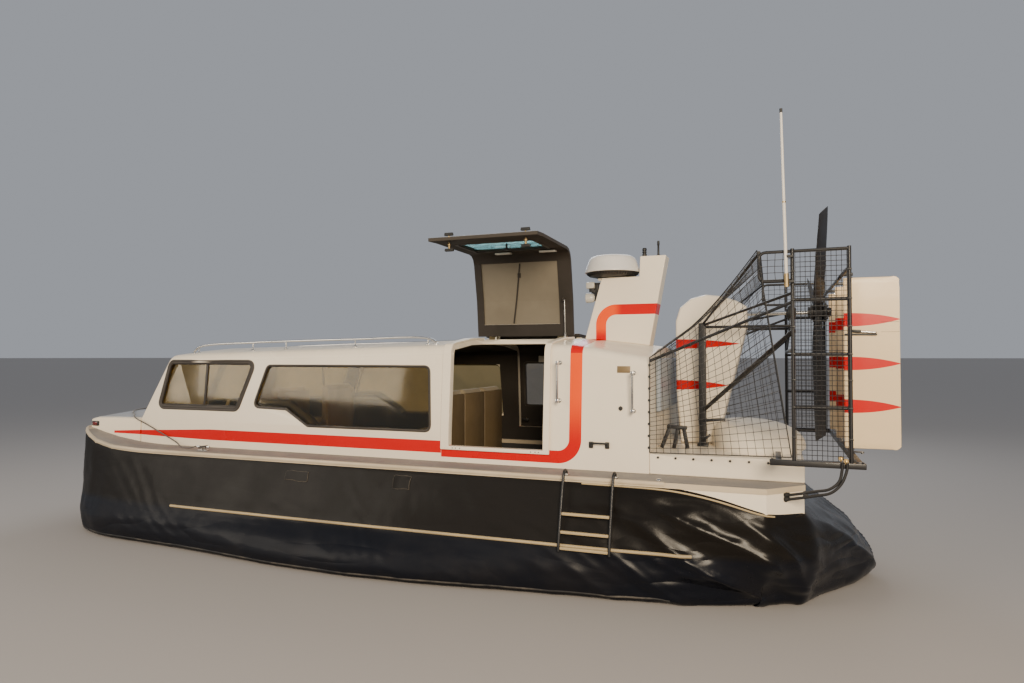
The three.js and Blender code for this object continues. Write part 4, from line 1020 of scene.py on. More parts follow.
def fill_corners(name, corners, radius, side):
    """Small webs that turn a window's square corners into round ones."""
    wall = side_wall(side)
    line = rounded(corners, radius)
    per_corner = len(line) // len(corners)
    shape = bmesh.new()
    for index, corner in enumerate(corners):
        arc = line[index * per_corner:(index + 1) * per_corner]
        front = shape.faces.new([shape.verts.new(wall(spot, -WEB_GAP)) for spot in (Vector(corner), *arc)])
        pushed = bmesh.ops.extrude_face_region(shape, geom=[front])["geom"]
        moved = [item for item in pushed if isinstance(item, bmesh.types.BMVert)]
        bmesh.ops.translate(shape, vec=(0, -side * WEB_DEPTH, 0), verts=moved)
    finish_piece(name, shape, "plain_white")


for side_name, side in SIDES:
    wall = side_wall(side)
    seal(f"front_window_seal_{side_name}", rounded(FRONT_WINDOW, 0.052), wall, WIDE_BEAD)
    seal(f"long_window_seal_{side_name}", rounded(LONG_WINDOW, LONG_WINDOW_RADIUS), wall, THIN_BEAD)
    fill_corners(f"long_window_corners_{side_name}", LONG_WINDOW, LONG_WINDOW_RADIUS, side)
    bars = bmesh.new()
    across = DIVIDER_AT[side_name]
    for start, end, inset, wide, deep in (
            ((across, 1.278), (across, 1.742), 0.012, 0.026, 0.014),
            ((5.30, 1.300), (6.28, 1.300), 0.013, 0.010, 0.018),
            ((5.14, 1.728), (6.18, 1.728), 0.013, 0.010, 0.018)):
        add_beam(bars, wall(Vector(start), -inset), wall(Vector(end), -inset), wide, deep)
    finish_piece(f"front_window_bars_{side_name}", bars, "rubber_dark")
    ledge = [at(x, y * side, z) for x, y, z in LEDGE]
    tubes(f"window_ledge_{side_name}", [(LEDGE_RADII, ledge)], "trim_black")
for index, (_, side) in enumerate(SIDES):
    pane = [Vector((across * side, up)) for across, up in SCREEN][::side]
    seal(f"windscreen_seal_{index}", rounded(pane, 0.045), front_wall, WIDE_BEAD)


# Doors, made shut on the port side and then hung

OPENED = math.radians(86)
HINGE = (0.100, 2.014)
HANDLES_AT = (2.110, 2.810)
LEAF, LINING, SEAL, HANDLE, HANDLE_NUT = range(5)
DOOR_LIGHT = ((2.10, 1.255), (2.83, 1.255), (2.83, 1.740), (2.10, 1.740))
DOOR_BEAD = ((-0.014, 0.022), (-0.014, 0.060), (0.010, 0.060), (0.012, 0.054), (0.012, 0.026), (0.010, 0.022))
ROOF_UNDER = ((0.215, 2.000), (0.43, 1.993), (0.62, 1.970), (0.79, 1.948))


def hang(name, shape, finish, side_name, side):
    """Carries a shape made for the shut port door to where that side's door hangs."""
    if side > 0:
        bmesh.ops.rotate(shape, verts=shape.verts, cent=(0, *HINGE), matrix=Matrix.Rotation(OPENED, 3, "X"))
    else:
        mirrored(shape)
    finish_piece(f"{name}_{side_name}", shape, finish, f"door_{side_name}")


def shut_place(spot, side):
    """Where a spot of the stored door is when the door is the shut port one, given forward, out and up."""
    out, rise = spot.y * side - HINGE[0], spot.z - HINGE[1]
    if side > 0:
        cos, sin = math.cos(OPENED), math.sin(OPENED)
        out, rise = out * cos + rise * sin, rise * cos - out * sin
    return Vector((forward_of(spot), out + HINGE[0], rise + HINGE[1]))


def door_pick(side):
    def pick(centre, normal):
        spot = shut_place(centre, side)
        facing = (shut_place(centre + normal * 0.001, side) - spot).normalized()
        if 1.085 < spot.z < 1.115 and (spot.y > 1.0 or spot.y < 0.89):
            return HANDLE
        beside = min(abs(spot.x - forward) for forward in HANDLES_AT)
        if 1.088 < spot.z < 1.112 and not 0.938 < spot.y < 0.978 and beside < 0.012:
            return HANDLE_NUT
        if abs(facing.x) > 0.7 or facing.z < -0.9 and spot.z < 1.2:
            return SEAL
        return LINING if facing.y < -0.3 or (facing.z < -0.5 and spot.z > 1.7) else LEAF
    return pick


def make_door(side_name, side):
    door = f"door_{side_name}"
    wall = side_wall(1)
    eased(door, ("plain_white", "lining_brown", "rubber_dark", "trim_black", "brass_worn"),
          pick=door_pick(side), body=door)

    handles, nuts = bmesh.new(), bmesh.new()
    for forward in HANDLES_AT:
        for low, high in ((0.860, 0.882), (0.994, 1.014)):
            add_block(handles, at(forward - 0.042, low, 1.084), at(forward + 0.042, high, 1.116), 0.009)
        for low, radius, sides in ((0.881, 0.0095, 16), (0.914, 0.015, 6)):
            add_rod(nuts, at(forward, low, 1.100), at(forward, 0.926, 1.100), radius, sides)
    hang("door_handles", handles, "trim_black", side_name, side)
    hang("door_handle_nuts", nuts, "brass_worn", side_name, side)

    bead = bead_round(rounded(DOOR_LIGHT, 0.045), wall, DOOR_BEAD)
    hang("door_light_seal", bead, "rubber_dark", side_name, side)

    lamps = bmesh.new()
    for forward in (2.06, 2.50):
        add_block(lamps, at(forward, 0.868, 1.742), at(forward + 0.15, 0.885, 1.812))
    hang("door_lamps", lamps, "lamp_pale", side_name, side)

    strap = bmesh.new()
    first = ROOF_UNDER[0][0]
    route = [at(2.569 - 0.093 * (left - first) / 0.575, left, up) for left, up in ROOF_UNDER]
    for start, end in zip(route, route[1:]):
        add_beam(strap, start, end, 0.014, 0.004, 0)
    add_block(strap, at(2.475, 0.655, 1.955), at(2.505, 0.700, 1.966), 0.003)
    hang("door_strap", strap, "lining_brown", side_name, side)

    knob = bmesh.new()
    forward, up = 2.415, 1.45
    for near, far, radius, sides in ((0.040, 0.000, 0.009, 16), (0.002, -0.018, 0.022, 20)):
        start, end = (at(forward, wall(Vector((forward, up)), proud).y, up) for proud in (near, far))
        add_rod(knob, start, end, radius, sides)
    hang("door_knob", knob, "trim_black", side_name, side)


for side_name, side in SIDES:
    make_door(side_name, side)


# Decks and hull

def on_gunwale(centre, normal):
    """Deck grip, lip or the side cleat."""
    beside = abs(abs(centre.y) - SIDE_CLEAT[1]) < 0.03 and abs(forward_of(centre) - SIDE_CLEAT[0]) < 0.1
    if beside and centre.z > 0.8765:
        return 2
    return 0 if normal.z > 0.5 and centre.z > 0.85 and forward_of(centre) <= BOW_CLEAT[0] else 1


def on_foredeck(centre, normal):
    """White edge, grey top or the bow cleat."""
    beside = abs(centre.y) < 0.09 and forward_of(centre) > 7.08
    if centre.z > 1.1995 or (centre.z > BOW_CLEAT[2] and beside and abs(normal.z) < 0.9):
        return 2
    return 1 if normal.z > 0.8 and abs(centre.y) < 0.86 else 0


def on_topsides(centre, normal):
    return 1 if 1.9 < forward_of(centre) < 6.3 and abs(centre.y) < 0.83 else 0


INSIDE_OUT = ("plain_white", "carpet_dark")
eased("gunwale", ("deck_grey", "lip_cream", "steel_bright"), width=0.003, pick=on_gunwale)
eased("foredeck", ("hull_white", "bow_grey", "steel_bright"), width=0.012, angle=25, pick=on_foredeck,
      segments=4)
eased("topsides", INSIDE_OUT, pick=on_topsides)
eased("stern_block", INSIDE_OUT, width=0.006, pick=on_topsides, segments=3)
eased("hull", INSIDE_OUT, pick=lambda centre, normal: 1 if normal.z > 0.5 and centre.z > 0.6 else 0)
eased("aft_body", "plain_white", width=0.012, segments=4)


# Engine bay: dome, drive tower, radiator and engine

def make_dome():
    arc = [math.pi / 2 * step / 18 for step in range(18)]
    shape = bmesh.new()
    add_turned(shape, [(1.0, -0.02), *((math.cos(a) ** 0.55, math.sin(a) ** 0.9) for a in arc), (0.0, 1.0)],
               (0, 0, 0), steps=72)
    for corner in shape.verts:
        x, y, z = corner.co
        lean = 0.16 * (1 - min(x * x + y * y, 1.0))
        corner.co = at(0.335 + 0.383 * x + lean, 0.718 * y, 1.0406 + 0.206 * z)
    finish_piece("aft_dome_smooth", shape, "plain_white", stands_for="aft_dome", sharp=70.0)


make_dome()
eased("drive_tower", "tower_white", width=0.006, angle=20, sharp=70, segments=3)
eased("radiator", "shield_blue", width=0.02, segments=4)
eased("engine_block", "engine_grey", width=0.02, segments=3)


# Pylon, scanner, lamps and mast lights

def make_scanner():
    centre = at(1.620, 0, 2.5403)
    shell = bmesh.new()
    add_turned(shell, ((0.0, 0.2150), (0.120, 0.2125), (0.178, 0.206), (0.205, 0.193), (0.220, 0.170),
                       (0.236, 0.125), (0.253, 0.080), (0.2605, 0.062), (0.2600, 0.052), (0.250, 0.050)),
               centre, steps=64)
    finish_piece("scanner_shell", shell, "radome_white", stands_for="scanner_dome", sharp=50.0)
    under = bmesh.new()
    add_turned(under, ((0.250, 0.056), (0.244, 0.046), (0.205, 0.020), (0.150, 0.006), (0.0, 0.002)), centre,
               steps=64)
    ribs = 56
    for index in range(ribs):
        turn = turn_of(360 * index / ribs, "Z")
        inner, outer = (centre + turn @ Vector(end) for end in ((0.212, 0, 0.022), (0.240, 0, 0.041)))
        add_rod(under, inner, outer, 0.004, 6)
    finish_piece("scanner_underside", under, "trim_black", sharp=50.0)


def make_lamps():
    frame = bmesh.new()
    add_block(frame, at(1.752, -0.020, 2.335), at(1.793, 0.020, 2.500))
    add_block(frame, at(1.722, -0.030, 2.492), at(1.793, 0.030, 2.505), 0.003)
    add_block(frame, at(1.775, -0.044, 2.405), at(1.812, 0.044, 2.437), 0.006)
    for left in (-0.045, 0.045):
        add_block(frame, at(1.790, left - 0.004, 2.415), at(1.835, left + 0.004, 2.474), 0.002)
    finish_piece("pylon_lamp_frame", frame, "trim_black", stands_for="pylon_lamps")
    cases = bmesh.new()
    add_block(cases, at(1.786, -0.052, 2.448), at(1.866, 0.052, 2.512), 0.012)
    add_turned(cases, ((0.0, -0.044), (0.024, -0.042), (0.040, -0.026), (0.045, 0.004), (0.046, 0.042),
                       (0.042, 0.044), (0.036, 0.034), (0.0, 0.028)), at(1.830, 0, 2.363), "X")
    finish_piece("pylon_lamp_cases", cases, "lamp_pale", sharp=40.0)
    lights = bmesh.new()
    add_block(lights, at(1.172, -0.029, 2.7253), at(1.338, 0.029, 2.733), 0.003)
    add_turned(lights, ((0.0, 0.0), (0.021, 0.0), (0.021, 0.028), (0.016, 0.031), (0.016, 0.036),
                        (0.021, 0.039), (0.021, 0.048), (0.016, 0.051), (0.016, 0.056), (0.021, 0.059),
                        (0.021, 0.076), (0.017, 0.082), (0.0, 0.083)), at(1.318, 0, 2.731), steps=24)
    add_turned(lights, ((0.0, 0.0), (0.016, 0.0), (0.016, 0.012), (0.010, 0.018), (0.009, 0.098),
                        (0.0115, 0.102), (0.0115, 0.138), (0.008, 0.142), (0.0, 0.142)), at(1.190, 0, 2.731),
               steps=20)
    finish_piece("mast_light_stems", lights, "trim_black", stands_for="mast_lights", sharp=40.0)


eased("pylon", "pylon_white", width=0.014, angle=40, segments=4)
make_scanner()
make_lamps()


# Propeller

PROP_CENTRE = at(-0.150, 0, 2.180)
PROP_TURNS = [90 - 18 - 120 * index for index in range(3)]
# Distance from the axis, chord, twist in degrees and thickness
BLADE_ROWS = ((0.070, 0.056, 62, 0.044), (0.180, 0.100, 50, 0.030), (0.360, 0.140, 39, 0.022),
              (0.620, 0.164, 31, 0.016), (0.880, 0.176, 27, 0.011), (1.088, 0.166, 25, 0.006))
BLADE_FOOT, BLADE_SPAN = 0.070, 1.018
BLADE_AROUND, BLADE_STEPS = 20, 22
# One corner of the tip is cut back: where the cut starts, how far out it ends and how deep it is there
CUT_FROM, CUT_REACH, CUT_DEPTH = 0.94, 0.148, 0.040
HUB = ((0.0, -0.105), (0.034, -0.104), (0.040, -0.096), (0.040, -0.070), (0.076, -0.068), (0.080, -0.062),
       (0.080, -0.046), (0.060, -0.042), (0.056, -0.030), (0.056, 0.034), (0.064, 0.038), (0.064, 0.056),
       (0.048, 0.060), (0.048, 0.078), (0.0, 0.078))


def blade_at(out):
    for low, high in zip(BLADE_ROWS, BLADE_ROWS[1:]):
        if out <= high[0]:
            break
    share = (out - low[0]) / (high[0] - low[0])
    return [a + (b - a) * share for a, b in zip(low, high)]


def on_blade(u, v):
    out, chord, twist, thick = blade_at(BLADE_FOOT + BLADE_SPAN * v / BLADE_STEPS)
    angle = math.tau * u / BLADE_AROUND
    run = math.cos(angle) * 0.5
    depth = math.sin(angle) * 0.5 * thick * (1.15 - run * 0.9) + thick * 0.12 * (1 - 4 * run * run)
    turn = math.radians(twist)
    out -= max(out - CUT_FROM, 0) / CUT_REACH * CUT_DEPTH * (run + 0.5)
    x = -run * chord * math.sin(turn) + depth * math.cos(turn)
    y = -run * chord * math.cos(turn) - depth * math.sin(turn)
    return Vector((x, y, out))


def make_propeller():
    blade = closed_skin(BLADE_AROUND, BLADE_STEPS, on_blade)
    blades = bmesh.new()
    add_copies(blades, blade, [Matrix.Translation(PROP_CENTRE) @ turn_of(degrees, "X", 4)
                               for degrees in PROP_TURNS])
    blade.free()
    finish_piece("propeller_blades", blades, "blade_black", "propeller", "propeller", sharp=60.0)

    hub = bmesh.new()
    add_turned(hub, HUB, PROP_CENTRE, "X", 40)
    for degrees in PROP_TURNS:
        out = turn_of(degrees, "X") @ UP
        for low, high, radius in ((0.030, 0.112, 0.033), (0.062, 0.082, 0.040), (0.096, 0.112, 0.037)):
            add_rod(hub, PROP_CENTRE + out * low, PROP_CENTRE + out * high, radius, 28)
    for index in range(6):
        spot = PROP_CENTRE + turn_of(60 * (index + 0.5), "X") @ UP * 0.060
        add_rod(hub, spot + Vector((-0.078, 0, 0)), spot + Vector((-0.060, 0, 0)), 0.009, 6)
    finish_piece("propeller_hub", hub, "tube_black", "propeller", sharp=40.0)
    shaft = bmesh.new()
    add_rod(shaft, PROP_CENTRE + Vector((0.050, 0, 0)), PROP_CENTRE + Vector((0.779, 0, 0)), 0.018, 24)
    finish_piece("propeller_shaft", shaft, "steel_bright", "propeller")


make_propeller()


# Rudders

RUDDERS = (("rudder_port", 0.700), ("rudder_centre", 0.0), ("rudder_starboard", -0.700))
RUDDER_NOSE, RUDDER_TAIL, RUDDER_PIVOT = -0.285, -0.655, -0.335
RUDDER_FOOT, RUDDER_HEAD = 1.125, 2.390
RUDDER_HALF, RUDDER_CORNER = 0.017, 0.040
# Shares of the chord to the end of the nose and to where the tail starts, and how much it thins
NOSE_SHARE, TAIL_FROM, TAIL_THINS = 0.10, 0.35, 0.76
CHORD_STEPS, RISE_STEPS = 24, 26


def make_rudder(name, left):
    length = RUDDER_NOSE - RUDDER_TAIL

    def place(u, v):
        loop = u % (2 * CHORD_STEPS)
        port = loop <= CHORD_STEPS
        run = loop / CHORD_STEPS if port else 2 - loop / CHORD_STEPS
        run = 0.5 - 0.5 * math.cos(math.pi * run)
        nose = math.sqrt(1 - (1 - unit(run / NOSE_SHARE)) ** 2)
        tail = 1 - max(run - TAIL_FROM, 0) / (1 - TAIL_FROM) * TAIL_THINS
        thick = RUDDER_HALF * nose * tail
        close = max(RUDDER_CORNER - (1 - run) * length, 0)
        trim = RUDDER_CORNER - math.sqrt(max(RUDDER_CORNER ** 2 - close ** 2, 0))
        rise = RUDDER_FOOT + trim + (RUDDER_HEAD - RUDDER_FOOT - 2 * trim) * v / RISE_STEPS
        return at(RUDDER_NOSE - run * length, left + (thick if port else -thick), rise)

    blade = closed_skin(2 * CHORD_STEPS, RISE_STEPS, place)
    rims = [edge for edge in blade.edges if edge.is_manifold and edge.calc_face_angle() > 1.2
            and abs(edge.verts[0].co.z - edge.verts[1].co.z) < 0.02]
    soften(blade, rims, 0.003, clamp=True)
    finish_piece(f"{name}_blade", blade, "rudder_cream", name, name, sharp=50.0)

    pivots = bmesh.new()
    for low, high, radius, sides in ((1.098, 1.128, 0.011, 16), (2.387, 2.398, 0.011, 16),
                                     (1.114, 1.122, 0.017, 24), (2.388, 2.396, 0.017, 24)):
        add_rod(pivots, at(RUDDER_PIVOT, left, low), at(RUDDER_PIVOT, left, high), radius, sides)
    finish_piece(f"{name}_pivots", pivots, "steel_bright", name)

    seams = bmesh.new()
    for rise in (1.985, 2.058):
        for face in (-1, 1):
            add_beam(seams, at(-0.470, left + face * 0.0128, rise), at(-0.653, left + face * 0.0042, rise),
                     0.0016, 0.0020, 0)
    finish_piece(f"{name}_tab_seams", seams, "rubber_dark", name)


def make_tab_actuator(name, left):
    """The trim tab's actuator on one face of a rudder, with the small bracket at the foot."""
    mounts = bmesh.new()
    for proud, fore, fore_up, aft, aft_up, wide, deep, ease in (
            (0.024, -0.290, 1.968, -0.505, 1.966, 0.012, 0.012, 0.002),
            (0.030, -0.338, 1.994, -0.398, 1.990, 0.026, 0.020, 0.003),
            (0.026, -0.470, 1.980, -0.500, 1.978, 0.014, 0.016, 0.002),
            (0.030, -0.338, 1.100, -0.410, 1.098, 0.040, 0.006, 0.002)):
        add_beam(mounts, at(fore, left + proud, fore_up), at(aft, left + proud, aft_up), wide, deep, ease)
    finish_piece("tab_actuator_mounts", mounts, "trim_black", name)
    rod = bmesh.new()
    add_rod(rod, at(-0.395, left + 0.034, 1.988), at(-0.492, left + 0.034, 1.980), 0.0075)
    add_rod(rod, at(-0.398, left + 0.034, 1.104), at(-0.398, left + 0.034, 1.088), 0.010)
    finish_piece("tab_actuator_rod", rod, "steel_bright", name)


for name, left in RUDDERS:
    make_rudder(name, left)
make_tab_actuator(*RUDDERS[0])


# Guard frame round the propeller

CAGE_OUT, CAGE_FRONT, CAGE_AFT = 1.200, 0.080, -0.280
CAGE_LOW, CAGE_TOP = 1.085, 2.560
HOOP_X, HOOP_OUT, HOOP_Z = 0.300, 1.176, 2.544
LOOP_Z = 2.335
TUBE_BEND = 0.050
POST_HEAD = (0.772, 0.302, 2.070)


def on_side_of(side):
    """at() for one side, with the distance out in place of left."""
    def there(forward, out, up):
        return at(forward, side * out, up)
    return there


def guard_runs():
    """Tubes of one half, as radius and places given forward, out and up."""
    aft, top, low, foot = (Vector(place) for place in (
        (CAGE_AFT, CAGE_OUT, HOOP_Z), (HOOP_X, HOOP_OUT, HOOP_Z), (HOOP_X, HOOP_OUT - 0.004, LOOP_Z),
        (CAGE_FRONT, CAGE_OUT - 0.008, LOOP_Z)))
    under_top = Vector((HOOP_X + 0.005, HOOP_OUT, LOOP_Z))
    bends = corner_curve(aft, top, under_top, TUBE_BEND) + corner_curve(top, low, foot, TUBE_BEND)
    hoop = [aft, *bends, foot]
    uprights = [(0.013, [(forward, CAGE_OUT, 1.060), (forward, CAGE_OUT, CAGE_TOP)])
                for forward in (CAGE_FRONT, CAGE_AFT)]
    levels = [(0.012, [(CAGE_FRONT, CAGE_OUT, up), (CAGE_AFT, CAGE_OUT, up)]) for up in (1.450, 1.820, 2.200)]
    return [
        *uprights,
        *levels,
        (0.0115, hoop),
        (0.010, [(0.775, 0.300, 2.075), (0.305, 1.166, 2.539)]),
        (0.011, [(CAGE_FRONT, CAGE_OUT, 2.250), POST_HEAD]),
        (0.018, [(0.076, 1.193, 1.984), (0.772, 0.303, 1.342)]),
        (0.012, [(0.078, 1.185, 2.188), (1.127, 0.862, 1.770)]),
        (0.011, [(0.060, 0.0, 2.120), (0.077, 1.191, 1.853)]),
        (0.012, [(0.772, 0.298, 2.056), (0.064, 0.296, 2.056)]),
        (0.014, [(0.066, 0.298, 2.054), (0.061, 0.030, 2.132)]),
        (0.020, [(0.775, 0.300, 2.060), (0.775, 0.140, 2.060)]),
    ]


def make_guard_frame():
    runs = [(0.014, [at(HOOP_X, -1.180, HOOP_Z), at(HOOP_X, 1.180, HOOP_Z)]),
            (0.015, [at(CAGE_FRONT, -1.203, 1.850), at(CAGE_FRONT, 1.203, 1.850)])]
    bars = bmesh.new()
    for _, side in SIDES:
        there = on_side_of(side)
        runs += [(radius, [there(*place) for place in places]) for radius, places in guard_runs()]
        for one, other, ease in (
                ((-0.370, 1.180, 1.0410), (0.240, 1.220, 1.0810), 0.005),
                ((0.160, 0.740, 1.0412), (0.200, 1.185, 1.0790), 0.004),
                ((0.745, 0.270, 1.0404), (0.805, 0.330, 2.0900), 0.006),
                ((0.730, 0.250, 1.0404), (0.820, 0.350, 1.0554), 0.004)):
            add_block(bars, there(*one), there(*other), ease)
        for forward in (0.738, 0.812):
            for out in (0.258, 0.342):
                add_stud(bars, there(forward, out, 1.054), UP * 0.009, 0.0075)
        for forward in (-0.350, 0.222):
            add_stud(bars, there(forward, 1.200, 1.079), UP * 0.010, 0.009)
        for one, other, wide, deep, ease in (
                ((1.085, 0.550, 1.044), (1.020, 0.550, 1.215), 0.034, 0.030, 0.002),
                ((0.985, 0.550, 1.044), (0.955, 0.550, 1.200), 0.034, 0.030, 0.002),
                ((0.875, 0.550, 1.044), (0.905, 0.550, 1.210), 0.034, 0.030, 0.002),
                ((1.040, 0.550, 1.222), (0.880, 0.550, 1.212), 0.060, 0.030, 0.004),
                ((0.770, 0.325, 1.258), (0.590, 0.325, 1.276), 0.030, 0.026, 0.003),
                ((0.770, 0.325, 1.085), (0.712, 0.325, 1.142), 0.020, 0.020, 0.003)):
            add_beam(bars, there(*one), there(*other), wide, deep, ease)
    tubes("guard_tubes", runs, "tube_black", stands_for="guard_frame")

    add_block(bars, at(-0.350, -1.200, 1.041), at(-0.310, 1.200, 1.091), 0.005)
    add_block(bars, at(-0.290, -1.200, 2.405), at(-0.270, 1.200, 2.430))
    for _, left in RUDDERS:
        add_block(bars, at(-0.351, left - 0.014, 2.405), at(-0.275, left + 0.014, 2.430))
    finish_piece("guard_bars", bars, "tube_black")

    bearing = bmesh.new()
    add_turned(bearing, ((0.024, -0.040), (0.040, -0.040), (0.044, -0.030), (0.064, -0.026), (0.070, -0.018),
                         (0.070, 0.018), (0.064, 0.026), (0.044, 0.030), (0.040, 0.040), (0.024, 0.040),
                         (0.024, -0.040)), at(0.060, 0, 2.180), "X", 40)
    finish_piece("shaft_bearing", bearing, "trim_black", sharp=40.0)


def make_mesh(side_name, side):
    low, high = CAGE_LOW + 0.004, CAGE_TOP - 0.030
    aft, front = CAGE_AFT + 0.017, CAGE_FRONT - 0.017
    left = side * (CAGE_OUT + 0.018)
    columns, rows, wire, apart = 10, 42, 0.0022, 0.0014
    wires = bmesh.new()
    for index in range(columns + 1):
        forward = aft + (front - aft) * index / columns
        add_rod(wires, at(forward, left + apart, low), at(forward, left + apart, high), wire, 6)
    for index in range(rows + 1):
        up = low + (high - low) * index / rows
        add_rod(wires, at(aft, left - apart, up), at(front, left - apart, up), wire, 6)
    finish_piece(f"wire_mesh_{side_name}", wires, "tube_black", stands_for=f"guard_mesh_{side_name}")
    clips = bmesh.new()
    for up in (1.24, 1.45, 1.64, 1.82, 2.01, 2.20, 2.40):
        for forward in (CAGE_AFT, CAGE_FRONT):
            add_block(clips, at(forward - 0.014, left - 0.006, up - 0.006),
                      at(forward + 0.014, left + 0.002, up + 0.006), 0.002)
    finish_piece(f"mesh_clips_{side_name}", clips, "trim_black")


NET_EDGE, NET_CORD, CORD_STEPS = 0.0040, 0.0021, 18
# Far apart places in the noise, one for each direction in which a cord strays
STRAYS = (3.3, 17.1, 29.8)


def net_patch(corners, across, along, sag, slack, droops=(0.0, 0.0)):
    """Cords of a square net over a patch: a and b stand at its fore edge, d and c at its aft edge.

    The droops are how far the edges from a to d and from b to c hang below straight.
    """
    a, b, c, d = corners
    middle = (a + b + c + d) / 4
    dip = ((b - a).cross(d - a)).normalized()
    dip = dip if dip.dot(middle - at(0.6, 0, 1.5)) < 0 else -dip

    def spot(s, t):
        base = a.lerp(b, s).lerp(d.lerp(c, s), t)
        bow = math.sin(math.pi * s) * math.sin(math.pi * t)
        stray = Vector([noise.noise(base * 3.1 + Vector((shift, 0, 0))) for shift in STRAYS]) * slack * bow
        droop = (droops[0] * (1 - s) + droops[1] * s) * math.sin(math.pi * t)
        return base + dip * sag * bow - UP * droop + stray

    def radius_at(index, last):
        return NET_EDGE if index in (0, last) else NET_CORD

    shares = [step / CORD_STEPS for step in range(CORD_STEPS + 1)]
    runs = [(radius_at(i, across), [spot(i / across, share) for share in shares]) for i in range(across + 1)]
    runs += [(radius_at(i, along), [spot(share, i / along) for share in shares]) for i in range(along + 1)]
    return runs


def make_net(side_name, side):
    there = on_side_of(side)
    edge_x = 1.125
    foot, shoulder = there(edge_x, 0.924, 1.047), there(edge_x, 0.904, 1.796)
    hoop, base = there(0.313, 1.197, 2.560), there(0.097, 1.217, 1.102)
    inner, inner_hoop = there(edge_x, 0.158, 1.892), there(0.313, 0.158, 2.560)
    runs = net_patch((foot, shoulder, hoop, base), 22, 18, 0.030, 0.014, (0.0, 0.085))
    runs += net_patch((shoulder, inner, inner_hoop, hoop), 12, 18, 0.010, 0.014, (0.085, 0.030))
    loop = (there(0.297, 1.178, 2.345), there(0.297, 1.180, 2.536), there(0.084, 1.200, 2.540),
            there(0.084, 1.196, 2.345))
    runs += net_patch(loop, 4, 4, 0.0, 0.030)
    tubes(f"net_{side_name}", runs, "net_black", stands_for=f"guard_net_{side_name}", roundness=0)

    hooks = bmesh.new()
    outwards = Vector((0, side, 0))
    for index in range(8):
        up = 1.085 + 0.093 * index
        add_stud(hooks, there(1.131, side_at(1.95, up) + 0.001, up), outwards * 0.012, 0.010, 12)
    for index in range(7):
        add_stud(hooks, there(1.06 - 0.135 * index, 0.921, 1.012), outwards * 0.010, 0.009, 12)
    finish_piece(f"net_hooks_{side_name}", hooks, "trim_black")


make_guard_frame()
for side_name, side in SIDES:
    make_mesh(side_name, side)
    make_net(side_name, side)


# Rails, ladder, hoses and antenna

# Forward, height on the rail and height of the foot
RAIL_STEMS = ((5.963, 1.9059, 1.8439), (5.239, 1.9491, 1.8711), (4.821, 1.9594, 1.8834),
              (4.001, 1.9728, 1.9028), (3.206, 1.9746, 1.9186))
RAIL_ENDS = ((6.030, 1.854), (3.120, 1.938))
GRAB_RAILS = (("front", 1.875, 1.430, 1.760), ("rear", 1.255, 1.360, 1.680))
LADDER_DROP = ((1.215, 0.895), (1.240, 0.925), (1.285, 0.915), (1.312, 0.850), (1.375, 0.640), (1.436, 0.400),
               (1.440, 0.350))
LADDER_POLES = (1.335, 1.720)
STEM_CUP = ((0.0, 0.016), (0.009, 0.014), (0.012, 0.007), (0.022, 0.003), (0.022, -0.004))
END_CUP = ((0.0, -0.004), (0.014, -0.006), (0.024, -0.010), (0.024, -0.022))
LADDER_CUP = ((0.0, 0.004), (0.022, 0.004), (0.022, -0.004), (0.0, -0.004))
PULLEY = ((0.0, -0.006), (0.016, -0.006), (0.013, 0.0), (0.016, 0.006), (0.0, 0.006))


def make_roof_rail(side_name, side):
    left = side * 0.700
    stems = [(at(forward, left, foot), at(forward, left, up)) for forward, up, foot in RAIL_STEMS]
    front, aft = (at(forward, left, up) for forward, up in RAIL_ENDS)
    runs = [(0.011, bend_through([front, *(head for _, head in stems), aft], 7))]
    runs += [(0.007, stem) for stem in stems]
    tubes(f"roof_rail_tube_{side_name}", runs, "steel_bright", stands_for=f"roof_rail_{side_name}")
    feet = bmesh.new()
    for foot, _ in stems:
        add_turned(feet, STEM_CUP, foot, steps=20)
    for end in (front, aft):
        add_turned(feet, END_CUP, end, steps=20)
    finish_piece(f"roof_rail_feet_{side_name}", feet, "steel_bright", sharp=45.0)


def make_grab_rail(label, forward, low, high, side_name, side):
    out = side * 0.962
    heights = (low + 0.008, high - 0.008)
    runs = [(0.010, [at(forward, out, low), at(forward, out, high)])]
    ends = bmesh.new()
    for up in heights:
        wall = side * side_at(1.95, up)
        runs.append((0.008, [at(forward, out, up), at(forward, wall + side * 0.002, up)]))
        add_rod(ends, at(forward, wall + side * 0.001, up), at(forward, wall + side * 0.007, up), 0.018, 24)
        half = Vector((0.0125, 0.0125, 0.016))
        add_block(ends, at(forward, out, up) - half, at(forward, out, up) + half, 0.005)
    rail = f"grab_rail_{label}_{side_name}"
    tubes(f"{rail}_bar", runs, "steel_bright", stands_for=rail)
    finish_piece(f"{rail}_ends", ends, "steel_bright")


def make_ladder():
    runs = [(0.011, bend_through([at(forward, left, up) for left, up in LADDER_DROP]))
            for forward in LADDER_POLES]
    tubes("ladder_poles", runs, "tube_black", stands_for="boarding_ladder")
    steps = bmesh.new()
    for left, up in ((1.386, 0.620), (1.418, 0.490), (1.437, 0.375)):
        add_beam(steps, at(1.345, left, up), at(1.710, left, up), 0.022, 0.022, 0.005)
    finish_piece("ladder_steps", steps, "batten_tan")
    feet = bmesh.new()
    for forward in LADDER_POLES:
        add_turned(feet, LADDER_CUP, at(forward, 1.215, 0.886), steps=24)
        add_rod(feet, at(forward, 1.215, 0.878), at(forward, 1.215, 0.900), 0.014)
    finish_piece("ladder_feet", feet, "steel_bright")


